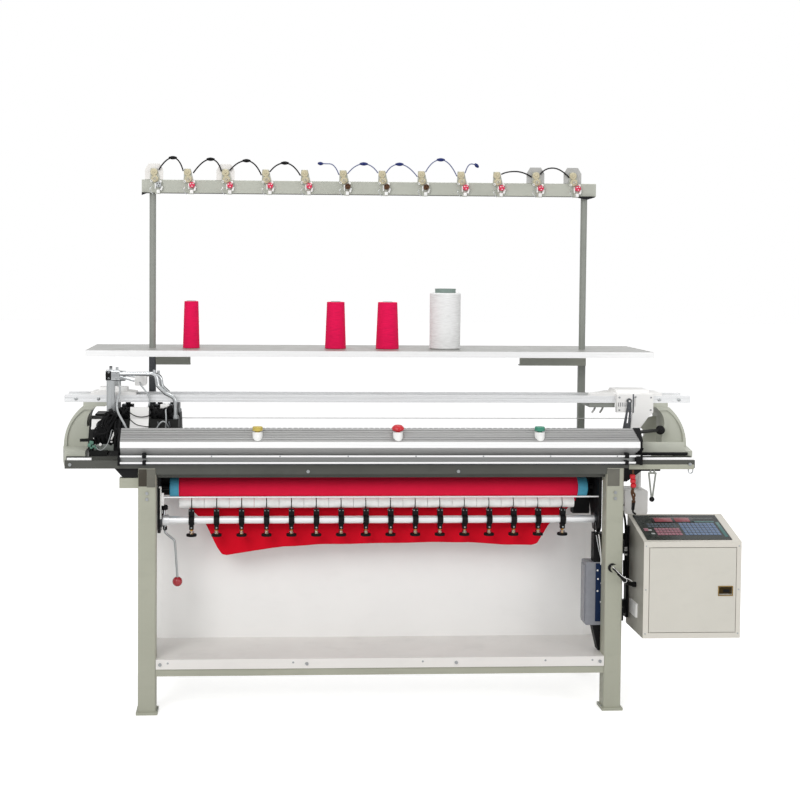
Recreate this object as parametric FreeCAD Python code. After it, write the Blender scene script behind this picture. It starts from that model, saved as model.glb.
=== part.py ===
import FreeCAD, Part
import math
import os
from FreeCAD import Vector

os.makedirs("parts", exist_ok=True)

# Flat knitting machine with two needle beds that meet as a roof, a carriage that runs along them, a
# yarn stand above, and a roller take-down below. Millimetres. While the machine is being drawn, x runs
# along the beds from the middle of the stand, y runs back from the front of the legs and z runs up
# from the floor. The last step moves the origin to the middle of the footprint.

# ---- stand ------------------------------------------------------------------------------------
FRAME_W = 1644.0          # over the outsides of the legs
FRAME_D = 490.0           # front of the front legs to back of the rear legs
LEG_W = 60.0              # square leg tube
LEG_H = 833.0             # floor to leg top
LEG_R = 6.0               # rounded tube corner
FOOT_W = 72.0             # square foot plate
FOOT_T = 10.0
SIDE_RAIL_W = 40.0        # rails that join a front leg to its rear leg
SIDE_RAIL_H = 50.0
LOWER_RAIL_Z = 129.0      # underside of the lower side rails
SHEET_T = 3.0             # folded sheet of the shelf and the back panel
SHELF_TOP = 187.0
SHELF_D = 270.0
SHELF_LIP = 33.0          # front lip of the shelf
SHELF_BAR_D = 40.0        # bar under the lip
SHELF_BAR_H = 25.0
SHELF_BAR_INSET = 5.0
PANEL_TOP = LEG_H - 73.0
PANEL_SIDE_GAP = 5.0      # between the back panel and the leg frames
PANEL_RETURN = 18.0       # folded edge of the back panel
BOLT_R = 5.5              # bolt heads of the stand
BOLT_T = 4.0
STUB_L = 63.0             # square stub on the left leg frame
STUB_H = 34.0
STUB_Z = LEG_H - 68.0

# ---- base beams and beds ----------------------------------------------------------------------
BEAM_L = 2130.0
BEAM_D = 50.0
BEAM_H = 27.0
WEB_H = 20.0              # part of the beam that hangs between the legs
FLANGE_T = 14.0           # ledge that carries a needle bed
GUIDE_W = 8.0             # hardened bar that the carriage runs on
GUIDE_H = 8.0
BED_L = 1460.0
BED_GAP = 8.0             # gap between the beds where the cloth goes down
BED_RISE = 127.0          # height of a bed's edge above its ledge; the beds lean at 45 degrees
BED_T = 24.0              # thickness of a bed, square to its face
BED_REST = 34.0           # width of a bed's foot on its ledge
TRICKS = 72               # needle grooves in a bed
KNIT_W = 1384.0           # width that the needles cover
TRICK_W = 5.0
TRICK_DEPTH = 5.0
NEEDLE_W = 3.2
NEEDLE_H = 3.6
NEEDLE_L = 150.0
BUTT_H = 5.0              # foot that the cams push
BUTT_L = 6.0
BUTT_AT = 46.0            # from the needle's lower end
NEEDLE_TIP_GAP = 2.0      # needle tip to the bed's edge

# ---- front cover and buttons ------------------------------------------------------------------
COVER_L = 1750.0
COVER_X = -5.0            # middle of the cover
COVER_T = 2.5
COVER_BACK_Y = 30.0
COVER_TOP = LEG_H + 132.0
NOSE_Y = -20.0
NOSE_TOP = LEG_H + 92.0
NOSE_BOTTOM = LEG_H + 72.0
RIB_COUNT = 5             # fine ribs along the cover's slope
RIB_W = 2.0
RIB_H = 1.2
TRAY_TOP = LEG_H + 47.0   # guide tray under the cover
TRAY_SHEET = 6.0
TRAY_LIP = 22.0           # how far the tray's lips stand forward
TRAY_LIP_GAP = 22.0       # between the tray's two lips
CAP_T = 8.0               # end caps of the cover
BUTTON_Y = 2.0
COLLAR_R = 17.0
COLLAR_TOP = LEG_H + 123.0
COLLAR_DEPTH = 34.0
COLLAR_FIT = 0.01         # gap round a collar in the cover
STEM_R = 8.0
STEM_L = 34.0
BUTTON_TRAVEL = 4.0
BUTTON_GAP = 0.6          # left under a button at the end of its travel
CAP_H = 14.0
CAP_R = 17.0
MUSHROOM_H = 20.0
MUSHROOM_R = 21.5
YELLOW_X = -424.0
RED_X = 48.0
GREEN_X = 530.0
RUN_FIT = 0.05            # radial clearance of every running fit
SIDE_FIT = 0.3            # clearance beside sliding and turning faces

# ---- feeder rails and end brackets ------------------------------------------------------------
RAIL_L = 2195.0
RAIL_X = 7.5              # middle of the rails
RAIL_W = 20.0
RAIL_H = 25.0
RAIL_Z = LEG_H + 204.0    # underside of the rails
RAIL_CLEAR = 90.0         # between the two rails
SLOT_W = 7.0              # groove along the rails
SLOT_DEPTH = 2.5
BRACKET_W = 89.0          # foot of an end bracket, along the beds
BRACKET_OUT = 1092.0      # outer face of an end bracket
BRACKET_FOOT_OUT = 1072.0 # outer corners of its foot, which tapers
BRACKET_FOOT_H = 52.0     # foot bar, from the beams' underside
BRACKET_LIMB_D = 140.0    # limb, front to back
BRACKET_PAD_H = 15.0
BRACKET_PAD_W = 82.0
BRACKET_RIM = 11.0        # raised edge of the casting
BRACKET_SINK = 7.0        # depth of the casting's hollow faces
BRACKET_SIDE_Z = LEG_H + 58.0# where the outer side begins to curve in
WEB_PLATE_T = 12.0        # quarter-round plate inside an end bracket
WEB_PLATE_R = 98.0
WEB_HOLE_R = 18.0

# ---- carriage ---------------------------------------------------------------------------------
CAR_LEFT = -995.0         # left end of the cam boxes at rest
CAR_L = 300.0
CAR_TRAVEL = 1520.0
CAM_LIFT = 10.0           # cam box above the bed's face, square to it
CAM_TOP = LEG_H + 152.0
CAM_INNER_GAP = 30.0      # between the front and the rear cam box
CAM_FRONT_Y = FRAME_D / 2 - 175.0
SHOE_W = 26.0
SHOE_H = 17.0
SHOE_L = 60.0
ARM_X = -940.0            # left edge of the upright arms
ARM_W = 28.0
ARM_T = 15.0
ARM_Y = FRAME_D / 2 - 115.0
ARM_TOP = LEG_H + 283.0
BRIDGE_R = 7.0            # bridge tubes
CROSS_R = 6.0             # tubes from its front half to its rear half
BRIDGE_Z = LEG_H + 306.0
REAR_DROP = 20.0          # rear half of the bridge below the front half
BRIDGE_RIGHT = -772.0
KNUCKLE = 26.0            # clamp blocks on the arms
BUD_R = 5.0               # small knobs on top of the bridge
CAR_BOX_W = 38.0          # cream solenoid box
CAR_BOX_D = 70.0
CAR_BOX_H = 44.0
CAR_BOX_X = -850.0
GRIP_L = 28.0             # pointed grip at the left of the front cam box
MOTOR_TOP = LEG_H + 195.0 # black stitch motors on the cam boxes
LINK_R = 3.5

# ---- drive belt -------------------------------------------------------------------------------
PULLEY_X = 1030.0
PULLEY_R = 22.0
PULLEY_W = 12.0
PULLEY_RIM = 3.0
BELT_T = 2.0
BELT_W = 10.0
BELT_Y = FRAME_D - 54.0
BELT_Z = LEG_H + 97.0
PIN_R = 6.0
PEDESTAL_W = 40.0
PEDESTAL_T = 10.0

# ---- yarn carriers ----------------------------------------------------------------------------
STOP_X0 = -1000.0         # left plate on the rails
STOP_X1 = -845.0
STOP_T = 8.0
STOP_RISE = 14.0          # raised middle of the left plate
STATION_X0 = 745.0        # right carrier station
STATION_X1 = 1010.0
STATION_T = 8.0
HUMP_H = 12.0             # raised back of the station's top plate
BLOCK_X0 = 837.0
BLOCK_X1 = 967.0
BLOCK_D = 18.0
BLOCK_BOTTOM = LEG_H + 172.0
BLOCK_TOP = LEG_H + 235.0
HANG_X0 = 893.0           # plate that hangs from the block
HANG_BOTTOM = LEG_H + 109.0
FEEDER_X0 = 746.0         # feeder bar under the rails
FEEDER_X1 = 836.0
FEEDER_TRAVEL = 1480.0
FEEDER_H = 16.0
FEEDER_TIP_R = 3.5
FEEDER_TIP_DROP = 26.0
LEVER_PIVOT_X = 880.0
LEVER_PIVOT_Z = LEG_H + 213.0
LEVER_PIN_R = 3.0
LEVER_W = 16.0
LEVER_T = 6.0
LEVER_L = 100.0

# ---- yarn stand -------------------------------------------------------------------------------
STAND_X = -11.0           # middle of the yarn stand
POST_X = 797.0            # from the middle of the yarn stand to a post
POST_Y = FRAME_D - 20.0
POST_W = 25.0
POST_R = 12.0
YARN_SHELF_L = 2046.0
YARN_SHELF_Y = FRAME_D - 185.0
YARN_SHELF_D = 370.0
YARN_SHELF_TOP = LEG_H + 375.0
YARN_SHELF_LIP = 22.0
YARN_SHEET = 2.0
CHANNEL_W = 96.0          # folded channels under the yarn shelf, on the posts
UNDER_BAR_H = 39.0        # bars under the channels that hold the posts
UNDER_BAR_D = 30.0
UNDER_BAR_LEFT = 127.0    # from the left post inwards
UNDER_BAR_RIGHT = 224.0   # from the right post inwards
TOP_BAR_L = 1671.0
TOP_BAR_H = 48.0
TOP_BAR_Z = LEG_H + 941.0
UNIT_PLACES = [-791.0, -670.0, -532.0, -386.0, -244.0, -103.0, 40.0, 185.0, 331.0, 464.0, 609.0, 747.0]
UNIT_PLATE_W = 20.0
UNIT_PLATE_T = 5.0
SHIELDS = (1, 3, 11, 12)  # units with a tall plate behind them
SHIELD_W = 66.0
SHIELD_H = 58.0
UNIT_PLATE_RISE = 40.0    # how far a unit's plate stands above the top bar
DISC_R = 13.0
DISC_T = 7.0
DISC_STEP = 24.0          # between a unit's two discs
KNOB_R = 10.0
KNOB_L = 16.0
LEAD_R = 2.3
LEADS = [                 # start, highest point and end of each lead: along the bar, above its underside
    ((-774.0, 82.0), (-714.5, 127.0), (-685.0, 79.0)),
    ((-649.0, 72.0), (-571.5, 123.0), (-547.0, 79.0)),
    ((-517.0, 82.0), (-452.0, 119.0), (-401.0, 67.0)),
    ((-371.0, 79.0), (-317.0, 112.0), (-259.0, 67.0)),
    ((-195.0, 112.0), (-150.0, 111.0), (-118.0, 71.0)),
    ((-87.0, 75.0), (-23.5, 112.0), (25.0, 79.0)),
    ((55.0, 79.0), (93.0, 112.0), (170.0, 67.0)),
    ((200.0, 84.0), (253.0, 130.0), (316.0, 70.0)),
    ((346.0, 82.0), (367.5, 116.0), (395.0, 104.0)),
    ((480.0, 79.0), (526.0, 90.0), (593.0, 70.0)),
    ((625.0, 80.0), (661.0, 104.0), (732.0, 70.0)),
]

# ---- yarn -------------------------------------------------------------------------------------
YARN_Y = FRAME_D - 30.0
CONE_H = 172.0
CONES = [(-655.0, 31.0), (-125.0, 39.0), (67.0, 43.0)]      # place along the shelf, base radius
CONE_TAPER = 0.84         # top radius over base radius
CONE_BORE_R = 16.0
BOBBIN_X = 281.0
BOBBIN_R = 57.0
BOBBIN_H = 208.0
CORE_R = 38.0
CORE_RISE = 15.0          # core above the wound yarn
CORE_WALL = 3.0

# ---- take-down --------------------------------------------------------------------------------
ROLLER_R = 34.0
ROLLER_Y = FRAME_D / 2 - 95.0
ROLLER_Z = LEG_H - 87.0
ROLLER_X0 = -724.0
ROLLER_X1 = 728.0
STUB_R = 10.0             # roller shaft in its bearings
CLOTH_W = 1384.0
CLOTH_T = 1.5
CLOTH_CLEAR = 0.5         # cloth to the rollers
CLOTH_BEND_Z = LEG_H + 17.0# where the cloth turns from the gap towards the roller
CLOTH_TOP = LEG_H + 92.0
CLOTH_BOTTOM = LEG_H - 328.0
PRESS_R = 18.5            # white pressure rollers
NIP_LEAN = 24.6           # degrees that the nip lies in front of straight down
AXLE_R = 4.0
SHAFT_Y = FRAME_D / 2 - 140.0  # in front of the line from the roller through the nip, so it opens the nip
SHAFT_Z = LEG_H - 193.0
SHAFT_R = 13.0
COLLAR_SHAFT_R = 19.0
COLLAR_SHAFT_L = 26.0
CLAMPS = 16
CLAMP_PITCH = 85.6
CLAMP_FIRST = -648.0
CLAMP_W = 19.0
CLAMP_R = 18.0
ARM_PLATE_T = 3.0         # thin arm that holds a pressure roller
SCREW_R = 3.0
NUT_R = 7.0
KNOB_DISC_R = 17.0
KNOB_DISC_T = 8.0
KNOB_DISC_Z = LEG_H - 241.0
SIDE_PLATE_T = 10.0       # bearing plates of the take-down
SIDE_PLATE_Y0 = FRAME_D / 2 - 185.0
SIDE_PLATE_Y1 = FRAME_D / 2 - 45.0
SIDE_PLATE_BOTTOM = LEG_H - 233.0
GEAR_BOX_W = 58.0         # black housings behind the ends of the main roller
GEAR_BOX_Y0 = FRAME_D / 2 - 57.0
GEAR_BOX_Y1 = FRAME_D / 2 - 15.0
GEAR_BOX_LEFT_Z = LEG_H - 122.0
GEAR_BOX_RIGHT_Z = LEG_H - 190.0
HANDLE_R = 4.0
BALL_R = 17.0
GUIDE_ROD_R = 3.0
GUIDE_ROD_Y = FRAME_D / 2 - 179.0
GUIDE_ROD_Z = LEG_H - 108.0

# ---- control box and right side ---------------------------------------------------------------
BOX_X = 876.5
BOX_W = 334.0
BOX_Y = -60.0             # front face
BOX_D = 205.0
BOX_Z = 264.0
BOX_FRONT_H = 328.0
BOX_BACK_H = 385.0
BOX_WALL = 3.0
BOX_FRONT_T = 8.0
DOOR_INSET = 18.5         # frame round the door
DOOR_GAP = 2.0
DOOR_T = 8.0
DOOR_SKIN = 2.0
HINGE_R = 2.0
HINGE_IN = 4.0            # hinge axis from the door's edge
HINGE_L = 7.0
LATCH_X = 1135.0
LATCH_W = 45.0
LATCH_Z = 411.0
LATCH_H = 28.0
LATCH_DEPTH = 5.0
LATCH_RIM = 3.0
LATCH_PIN_R = 1.0
KEYS_MARGIN = 14.0
KEYS_RIGHT = 28.0         # wider margin at its right
KEYS_T = 2.0
BRACE_T = 10.0            # plate that carries the control box
BRACE_Y0 = 116.0
BRACE_Y1 = 142.0
MOTOR_X0 = 884.0
MOTOR_X1 = 966.0
MOTOR_Y0 = 205.0
MOTOR_Y1 = 300.0
MOTOR_Z0 = LEG_H - 196.0
MOTOR_Z1 = LEG_H - 110.0
HANGER_T = 8.0
V_X = 921.0               # hanging lever
V_Y = 25.0
V_SPREAD = 24.0
V_R = 3.0
V_EYE_R = 7.0
V_DROP = 96.0
V_KNOB_R = 9.0
JUNCTION_W = 52.0
JUNCTION_D = 62.0
JUNCTION_Z0 = 279.0
JUNCTION_Z1 = 498.0
CABLE_R = 4.0
GLAND_R = 13.0
GLAND_T = 12.0
GLAND_Z = 490.0
ENTRY_R = 9.0             # cable entry on the control box's left side

# ---- worked out from the sizes above ----------------------------------------------------------
MID_Y = FRAME_D / 2
LEG_IN = FRAME_W / 2 - LEG_W
LEG_OUT = FRAME_W / 2
BEAM_TOP = LEG_H + BEAM_H
LEDGE_TOP = LEG_H - WEB_H
BED_TOP = LEDGE_TOP + BED_RISE
BED_EDGE = MID_Y - BED_GAP / 2
BED_FOOT_Y = BED_EDGE - BED_RISE
COLLAR_BORE = STEM_R + RUN_FIT
RAIL_TOP = RAIL_Z + RAIL_H
FRONT_RAIL_Y = MID_Y - RAIL_CLEAR / 2 - RAIL_W
CAR_RIGHT = CAR_LEFT + CAR_L
CAM_BACK_Y = MID_Y - CAM_INNER_GAP / 2
TRICK_PITCH = KNIT_W / TRICKS
YARN_SHELF_UNDER = YARN_SHELF_TOP - YARN_SHELF_LIP
PLATE_X = LEG_IN - SIDE_PLATE_T
NIP_ANGLE = math.radians(-90.0 - NIP_LEAN)
NIP_REACH = ROLLER_R + PRESS_R + 2 * CLOTH_CLEAR + CLOTH_T
PRESS_Y = ROLLER_Y + NIP_REACH * math.cos(NIP_ANGLE)
PRESS_Z = ROLLER_Z + NIP_REACH * math.sin(NIP_ANGLE)
DOOR_X0 = BOX_X + DOOR_INSET
DOOR_X1 = BOX_X + BOX_W - DOOR_INSET + 3.0
DOOR_Z0 = BOX_Z + DOOR_INSET
DOOR_Z1 = BOX_Z + BOX_FRONT_H - DOOR_INSET
HINGE_X = DOOR_X0 + DOOR_GAP + HINGE_IN
HINGE_Y = BOX_Y + BOX_FRONT_T / 2
BELT_RUN = PULLEY_R + BELT_T
ENTRY_Y = BOX_Y + 90.0
ENTRY_Z = BOX_Z + 163.0
V_PIN_Z = LEG_H - 8.0


# ---- helpers ----------------------------------------------------------------------------------
def block(x0, x1, y0, y1, z0, z1):
    """Square block between six planes."""
    return Part.makeBox(x1 - x0, y1 - y0, z1 - z0, Vector(x0, y0, z0))


def rod(start, end, radius):
    """Round bar from one point to another."""
    a = Vector(*start)
    b = Vector(*end)
    return Part.makeCylinder(radius, (b - a).Length, a, b - a)


def face_of(points):
    """Flat face inside a closed outline of points."""
    return Part.Face(Part.makePolygon(points + points[:1]))


def along_x(outline, x0, x1):
    """Outline of (y, z) points drawn out along the beds."""
    return face_of([Vector(x0, y, z) for y, z in outline]).extrude(Vector(x1 - x0, 0, 0))


def along_y(outline, y0, y1):
    """Outline of (x, z) points drawn out from front to back."""
    return face_of([Vector(x, y0, z) for x, z in outline]).extrude(Vector(0, y1 - y0, 0))


def along_z(outline, z0, z1):
    """Outline of (x, y) points drawn out upwards."""
    return face_of([Vector(x, y, z0) for x, y in outline]).extrude(Vector(0, 0, z1 - z0))


def joined(shapes):
    """One solid from pieces that meet."""
    first = shapes[0]
    return first.fuse(shapes[1:]).removeSplitter() if len(shapes) > 1 else first


def rounded(shape, radius, direction):
    """Round the straight edges that run in one direction."""
    edges = []
    for edge in shape.Edges:
        straight = isinstance(edge.Curve, Part.Line)
        if straight and abs(edge.tangentAt(edge.FirstParameter).dot(direction)) > 0.999:
            edges.append(edge)
    return shape.makeFillet(radius, edges)


def folded(points, thickness):
    """Closed outline of a folded sheet whose left side, going along the points, is the given line."""
    inner = []
    for i, (u, v) in enumerate(points):
        normals = []
        for a, b in ((i - 1, i), (i, i + 1)):
            if a >= 0 and b < len(points):
                du, dv = points[b][0] - points[a][0], points[b][1] - points[a][1]
                size = math.hypot(du, dv)
                normals.append((dv / size, -du / size))
        nu = sum(n[0] for n in normals)
        nv = sum(n[1] for n in normals)
        scale = thickness * len(normals) / (nu * nu + nv * nv)
        inner.append((u + nu * scale, v + nv * scale))
    return points + inner[::-1]


def tube(route, radius, name=None, tightest=None):
    """Round tube of straight runs and tangent arcs through a route of points."""
    points = [Vector(*p) for p in route]
    runs = [(b - a).Length for a, b in zip(points, points[1:])]
    edges = []
    last = points[0]
    radii = []
    for i in range(1, len(points) - 1):
        before = (points[i - 1] - points[i]).normalize()
        after = (points[i + 1] - points[i]).normalize()
        half_turn = (math.pi - before.getAngle(after)) / 2
        cut = 0.45 * min(runs[i - 1], runs[i])
        if tightest is not None:
            cut = min(cut, tightest * math.tan(half_turn))
        radii.append(cut / math.tan(half_turn))
        a = points[i] + before * cut
        b = points[i] + after * cut
        inward = (before + after).normalize()
        middle = points[i] + inward * (radii[-1] / math.cos(half_turn) - radii[-1])
        edges.append(Part.LineSegment(last, a).toShape())
        edges.append(Part.Arc(a, middle, b).toShape())
        last = b
    edges.append(Part.LineSegment(last, points[-1]).toShape())
    path = Part.Wire(edges)
    ring = Part.Wire(Part.makeCircle(radius, points[0], points[1] - points[0]))
    if name:
        print(name, "length", round(path.Length, 1), "radii", [round(r, 1) for r in radii])
    return path.makePipeShell([ring], True, False)


def moved(shape, x):
    """The same piece moved along the beds."""
    return shape.translated(Vector(x, 0, 0))


def mirror_y(shape):
    """The same piece on the other side of the gap between the beds."""
    return shape.mirror(Vector(0, MID_Y, 0), Vector(0, 1, 0))


def mirror_x(shape):
    """The same piece at the other end of the machine."""
    return shape.mirror(Vector(0, 0, 0), Vector(1, 0, 0))


# ---- stand ------------------------------------------------------------------------------------
def leg_frame():
    """Right leg frame: two square legs on foot plates, joined by a lower and an upper rail."""
    pieces = []
    for y0 in (0.0, FRAME_D - LEG_W):
        leg = block(LEG_IN, LEG_OUT, y0, y0 + LEG_W, FOOT_T, LEG_H)
        pieces.append(rounded(leg, LEG_R, Vector(0, 0, 1)))
        side = (FOOT_W - LEG_W) / 2
        foot = block(LEG_IN - side, LEG_OUT + side, y0 - side, y0 + LEG_W + side, 0, FOOT_T)
        pieces.append(foot)
    for z0 in (LOWER_RAIL_Z, LEG_H - SIDE_RAIL_H):
        rail = block(LEG_IN, LEG_IN + SIDE_RAIL_W, LEG_W / 2, FRAME_D - LEG_W / 2, z0, z0 + SIDE_RAIL_H)
        pieces.append(rail)
    return joined(pieces)


def side_stub():
    """Short square tube on the left front leg, under its gusset."""
    y0 = (LEG_W - STUB_H) / 2
    tube_end = block(-LEG_OUT - STUB_L, -LEG_OUT, y0, y0 + STUB_H, STUB_Z, STUB_Z + STUB_H)
    hollow = block(-LEG_OUT - STUB_L - 1, -LEG_OUT - SHEET_T, y0 + SHEET_T, y0 + STUB_H - SHEET_T,
                   STUB_Z + SHEET_T, STUB_Z + STUB_H - SHEET_T)
    return tube_end.cut(hollow)


def cable_gland():
    """Gland on the front of the right leg, round the cable that comes out of it."""
    mid = (LEG_IN + LEG_OUT) / 2
    nut = rod((mid, 0, GLAND_Z), (mid, -GLAND_T, GLAND_Z), GLAND_R)
    return nut.cut(rod((mid, 0, GLAND_Z), (mid, -GLAND_T, GLAND_Z), CABLE_R + RUN_FIT))


def lower_shelf():
    """Folded shelf with a front lip whose bottom fold lies on the bar."""
    bottom = SHELF_TOP - SHELF_LIP
    line = [(SHELF_BAR_INSET + SHELF_BAR_D, bottom), (0, bottom), (0, SHELF_TOP), (SHELF_D, SHELF_TOP)]
    return along_x(folded(line, SHEET_T), -LEG_IN, LEG_IN)


def shelf_bar():
    """Square bar between the front legs, under the shelf's lip."""
    top = SHELF_TOP - SHELF_LIP
    y0 = SHELF_BAR_INSET
    return block(-LEG_IN, LEG_IN, y0, y0 + SHELF_BAR_D, top - SHELF_BAR_H, top)


def back_panel():
    """Upright sheet on the shelf's rear edge, folded back at its sides and top."""
    half = LEG_IN - PANEL_SIDE_GAP
    y0 = SHELF_D - SHEET_T
    sheet = block(-half, half, y0, SHELF_D, SHELF_TOP, PANEL_TOP)
    left = block(-half, -half + SHEET_T, y0, y0 + PANEL_RETURN, SHELF_TOP, PANEL_TOP)
    top = block(-half, half, y0, y0 + PANEL_RETURN, PANEL_TOP - SHEET_T, PANEL_TOP)
    return joined([sheet, left, mirror_x(left), top])


def bolt_head(x, y, z):
    """Round head that stands forward of a face at the given y."""
    return rod((x, y, z), (x, y - BOLT_T, z), BOLT_R)


def frame_bolts():
    """Bolt heads on the legs, the beam and the shelf lip."""
    heads = []
    leg_mid = (LEG_IN + LEG_OUT) / 2
    lip_z = SHELF_TOP - SHELF_LIP / 2
    for side in (-1, 1):
        for z in (LEG_H - 83, LEG_H - 103):
            heads.append(bolt_head(side * leg_mid, 0, z))
        heads.append(bolt_head(side * (LEG_IN - 14), 0, lip_z))
        heads.append(bolt_head(side * LEG_IN / 3, 0, lip_z))
        heads.append(bolt_head(side * LEG_IN / 3, 0, LEG_H - WEB_H / 2))
        heads.append(bolt_head(side * (BRACKET_OUT - BRACKET_W / 2), 0, LEG_H + BEAM_H / 2))
    return Part.makeCompound(heads)


def base_beam():
    """Front base beam: long bar, web between the legs, ledge for the bed and the guide bar on top."""
    bar = block(-BEAM_L / 2, BEAM_L / 2, 0, BEAM_D, LEG_H, BEAM_TOP)
    web = block(-LEG_IN, LEG_IN, 0, BEAM_D, LEDGE_TOP, LEG_H)
    ledge = block(-LEG_IN, LEG_IN, BEAM_D / 2, BED_FOOT_Y + BED_REST, LEDGE_TOP - FLANGE_T, LEDGE_TOP)
    guide = block(-BEAM_L / 2, BEAM_L / 2, BEAM_D - GUIDE_W, BEAM_D, BEAM_TOP, BEAM_TOP + GUIDE_H)
    return joined([bar, web, ledge, guide])


def support_brackets():
    """Black steel pieces: two gussets under the beam ends and the carrier of the control box."""
    gusset = along_y([(LEG_OUT, LEG_H), (LEG_OUT, LEG_H - 48), (LEG_OUT + 12, LEG_H - 48),
                      (LEG_OUT + 62, LEG_H - 12), (LEG_OUT + 128, LEG_H - 12), (LEG_OUT + 128, LEG_H)],
                     V_Y - 12, V_Y + 12)
    left_gusset = along_y([(-LEG_OUT, LEG_H), (-LEG_OUT, LEG_H - 31), (-LEG_OUT - 52, LEG_H - 31),
                           (-LEG_OUT - 80, LEG_H)], V_Y - 12, V_Y + 12)
    brace = block(BOX_X - BRACE_T, BOX_X, BRACE_Y0, BRACE_Y1, BOX_Z + 26, BOX_Z + BOX_FRONT_H + 20)
    arms = []
    for z0 in (BOX_Z + 40, BOX_Z + BOX_FRONT_H - 56):
        arms.append(block(LEG_OUT, BOX_X - BRACE_T, BRACE_Y0 + 4, BRACE_Y1, z0, z0 + 46))
        arms.append(block(LEG_OUT, LEG_OUT + BRACE_T, LEG_W / 3, BRACE_Y1, z0, z0 + 46))
    pin = rod((V_X, V_Y - 12, V_PIN_Z), (V_X, V_Y - 20, V_PIN_Z), V_R)
    return Part.makeCompound([joined([gusset, pin]), left_gusset, joined([brace] + arms)])


# ---- beds -------------------------------------------------------------------------------------
def bed_section():
    """Outline of the front bed: face at 45 degrees, upright edge at the gap, flat foot on the ledge."""
    under = BED_TOP - BED_T * math.sqrt(2)
    foot_back = BED_EDGE - (under - LEDGE_TOP)
    return [(BED_EDGE, BED_TOP), (BED_EDGE, under), (foot_back, LEDGE_TOP), (BED_FOOT_Y, LEDGE_TOP)]


def on_bed(shape):
    """Put a piece drawn with y up the slope and z off the face onto the front bed's face."""
    placed = shape.copy()
    lean = FreeCAD.Rotation(Vector(1, 0, 0), 45)
    placed.Placement = FreeCAD.Placement(Vector(0, BED_FOOT_Y, LEDGE_TOP), lean)
    return placed


def needle_bed():
    """Steel bed with a row of grooves cut down its face."""
    length = BED_RISE * math.sqrt(2)
    comb = [(-BED_L / 2, -BED_T), (-BED_L / 2, 0)]
    for i in range(TRICKS):
        x = -KNIT_W / 2 + (i + 0.5) * TRICK_PITCH
        left, right = x - TRICK_W / 2, x + TRICK_W / 2
        comb += [(left, 0), (left, -TRICK_DEPTH), (right, -TRICK_DEPTH), (right, 0)]
    comb += [(BED_L / 2, 0), (BED_L / 2, -BED_T)]
    slab = on_bed(along_y(comb, -BED_T * 2, length + BED_T))
    return slab.common(along_x(bed_section(), -BED_L / 2, BED_L / 2))


def needles():
    """Needles in the grooves: a long stem with a foot for the cams and a raised hook at the tip."""
    top = BED_RISE * math.sqrt(2) - NEEDLE_TIP_GAP - TRICK_DEPTH
    low = top - NEEDLE_L
    floor = -TRICK_DEPTH
    stem = floor + NEEDLE_H
    butt = low + BUTT_AT
    outline = [(low, floor), (top, floor), (top, stem), (butt + BUTT_L, stem), (butt + BUTT_L, stem + BUTT_H),
               (butt, stem + BUTT_H), (butt, stem), (low, stem)]
    made = []
    for i in range(TRICKS):
        x = -KNIT_W / 2 + (i + 0.5) * TRICK_PITCH
        made.append(on_bed(along_x(outline, x - NEEDLE_W / 2, x + NEEDLE_W / 2)))
    return Part.makeCompound(made)


# ---- front cover ------------------------------------------------------------------------------
def cover_line():
    """Outer line of the cover's section, from the bottom fold round the nose to the top edge."""
    return [(COVER_BACK_Y, TRAY_TOP), (4.0, TRAY_TOP), (NOSE_Y, NOSE_BOTTOM), (NOSE_Y + 2, NOSE_TOP),
            (COVER_BACK_Y, COVER_TOP), (COVER_BACK_Y, COVER_TOP - 12)]


def under_slope():
    """Everything below the cover's outer line."""
    line = cover_line()
    return along_x(line[:5], COVER_X - COVER_L / 2, COVER_X + COVER_L / 2)


def front_cover():
    """Folded cover with fine ribs along its slope and a hole for each button."""
    x0, x1 = COVER_X - COVER_L / 2, COVER_X + COVER_L / 2
    shell = along_x(folded(cover_line(), COVER_T), x0, x1)
    line = cover_line()
    (ya, za), (yb, zb) = line[3], line[4]
    slope = math.hypot(yb - ya, zb - za)
    uy, uz = (yb - ya) / slope, (zb - za) / slope
    ribs = []
    for i in range(RIB_COUNT):
        along = slope * (i + 1) / (RIB_COUNT + 1)
        corners = []
        for du, dn in ((0, -COVER_T / 2), (RIB_W, -COVER_T / 2), (RIB_W, RIB_H), (0, RIB_H)):
            corners.append((ya + uy * (along + du) - uz * dn, za + uz * (along + du) + uy * dn))
        ribs.append(along_x(corners, x0, x1))
    shell = joined([shell] + ribs)
    for x in (YELLOW_X, RED_X, GREEN_X):
        low = TRAY_TOP + COVER_T + 2
        shell = shell.cut(rod((x, BUTTON_Y, low), (x, BUTTON_Y, COVER_TOP + 30), COLLAR_R + COLLAR_FIT))
    return shell


def guide_tray():
    """Long tray in front of the beam: two lips that stand forward and a ledge for the cover."""
    lip = TRAY_SHEET
    low_top = TRAY_TOP - lip - TRAY_LIP_GAP + lip
    outline = [(0, LEG_H + 13), (0, TRAY_TOP - lip), (COVER_BACK_Y, TRAY_TOP - lip), (COVER_BACK_Y, TRAY_TOP),
               (-TRAY_LIP, TRAY_TOP), (-TRAY_LIP, TRAY_TOP - lip), (-lip, TRAY_TOP - lip), (-lip, low_top),
               (-TRAY_LIP, low_top), (-TRAY_LIP, low_top - lip), (-lip, low_top - lip), (-lip, LEG_H + 13)]
    return along_x(outline, COVER_X - COVER_L / 2, COVER_X + COVER_L / 2)


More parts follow.
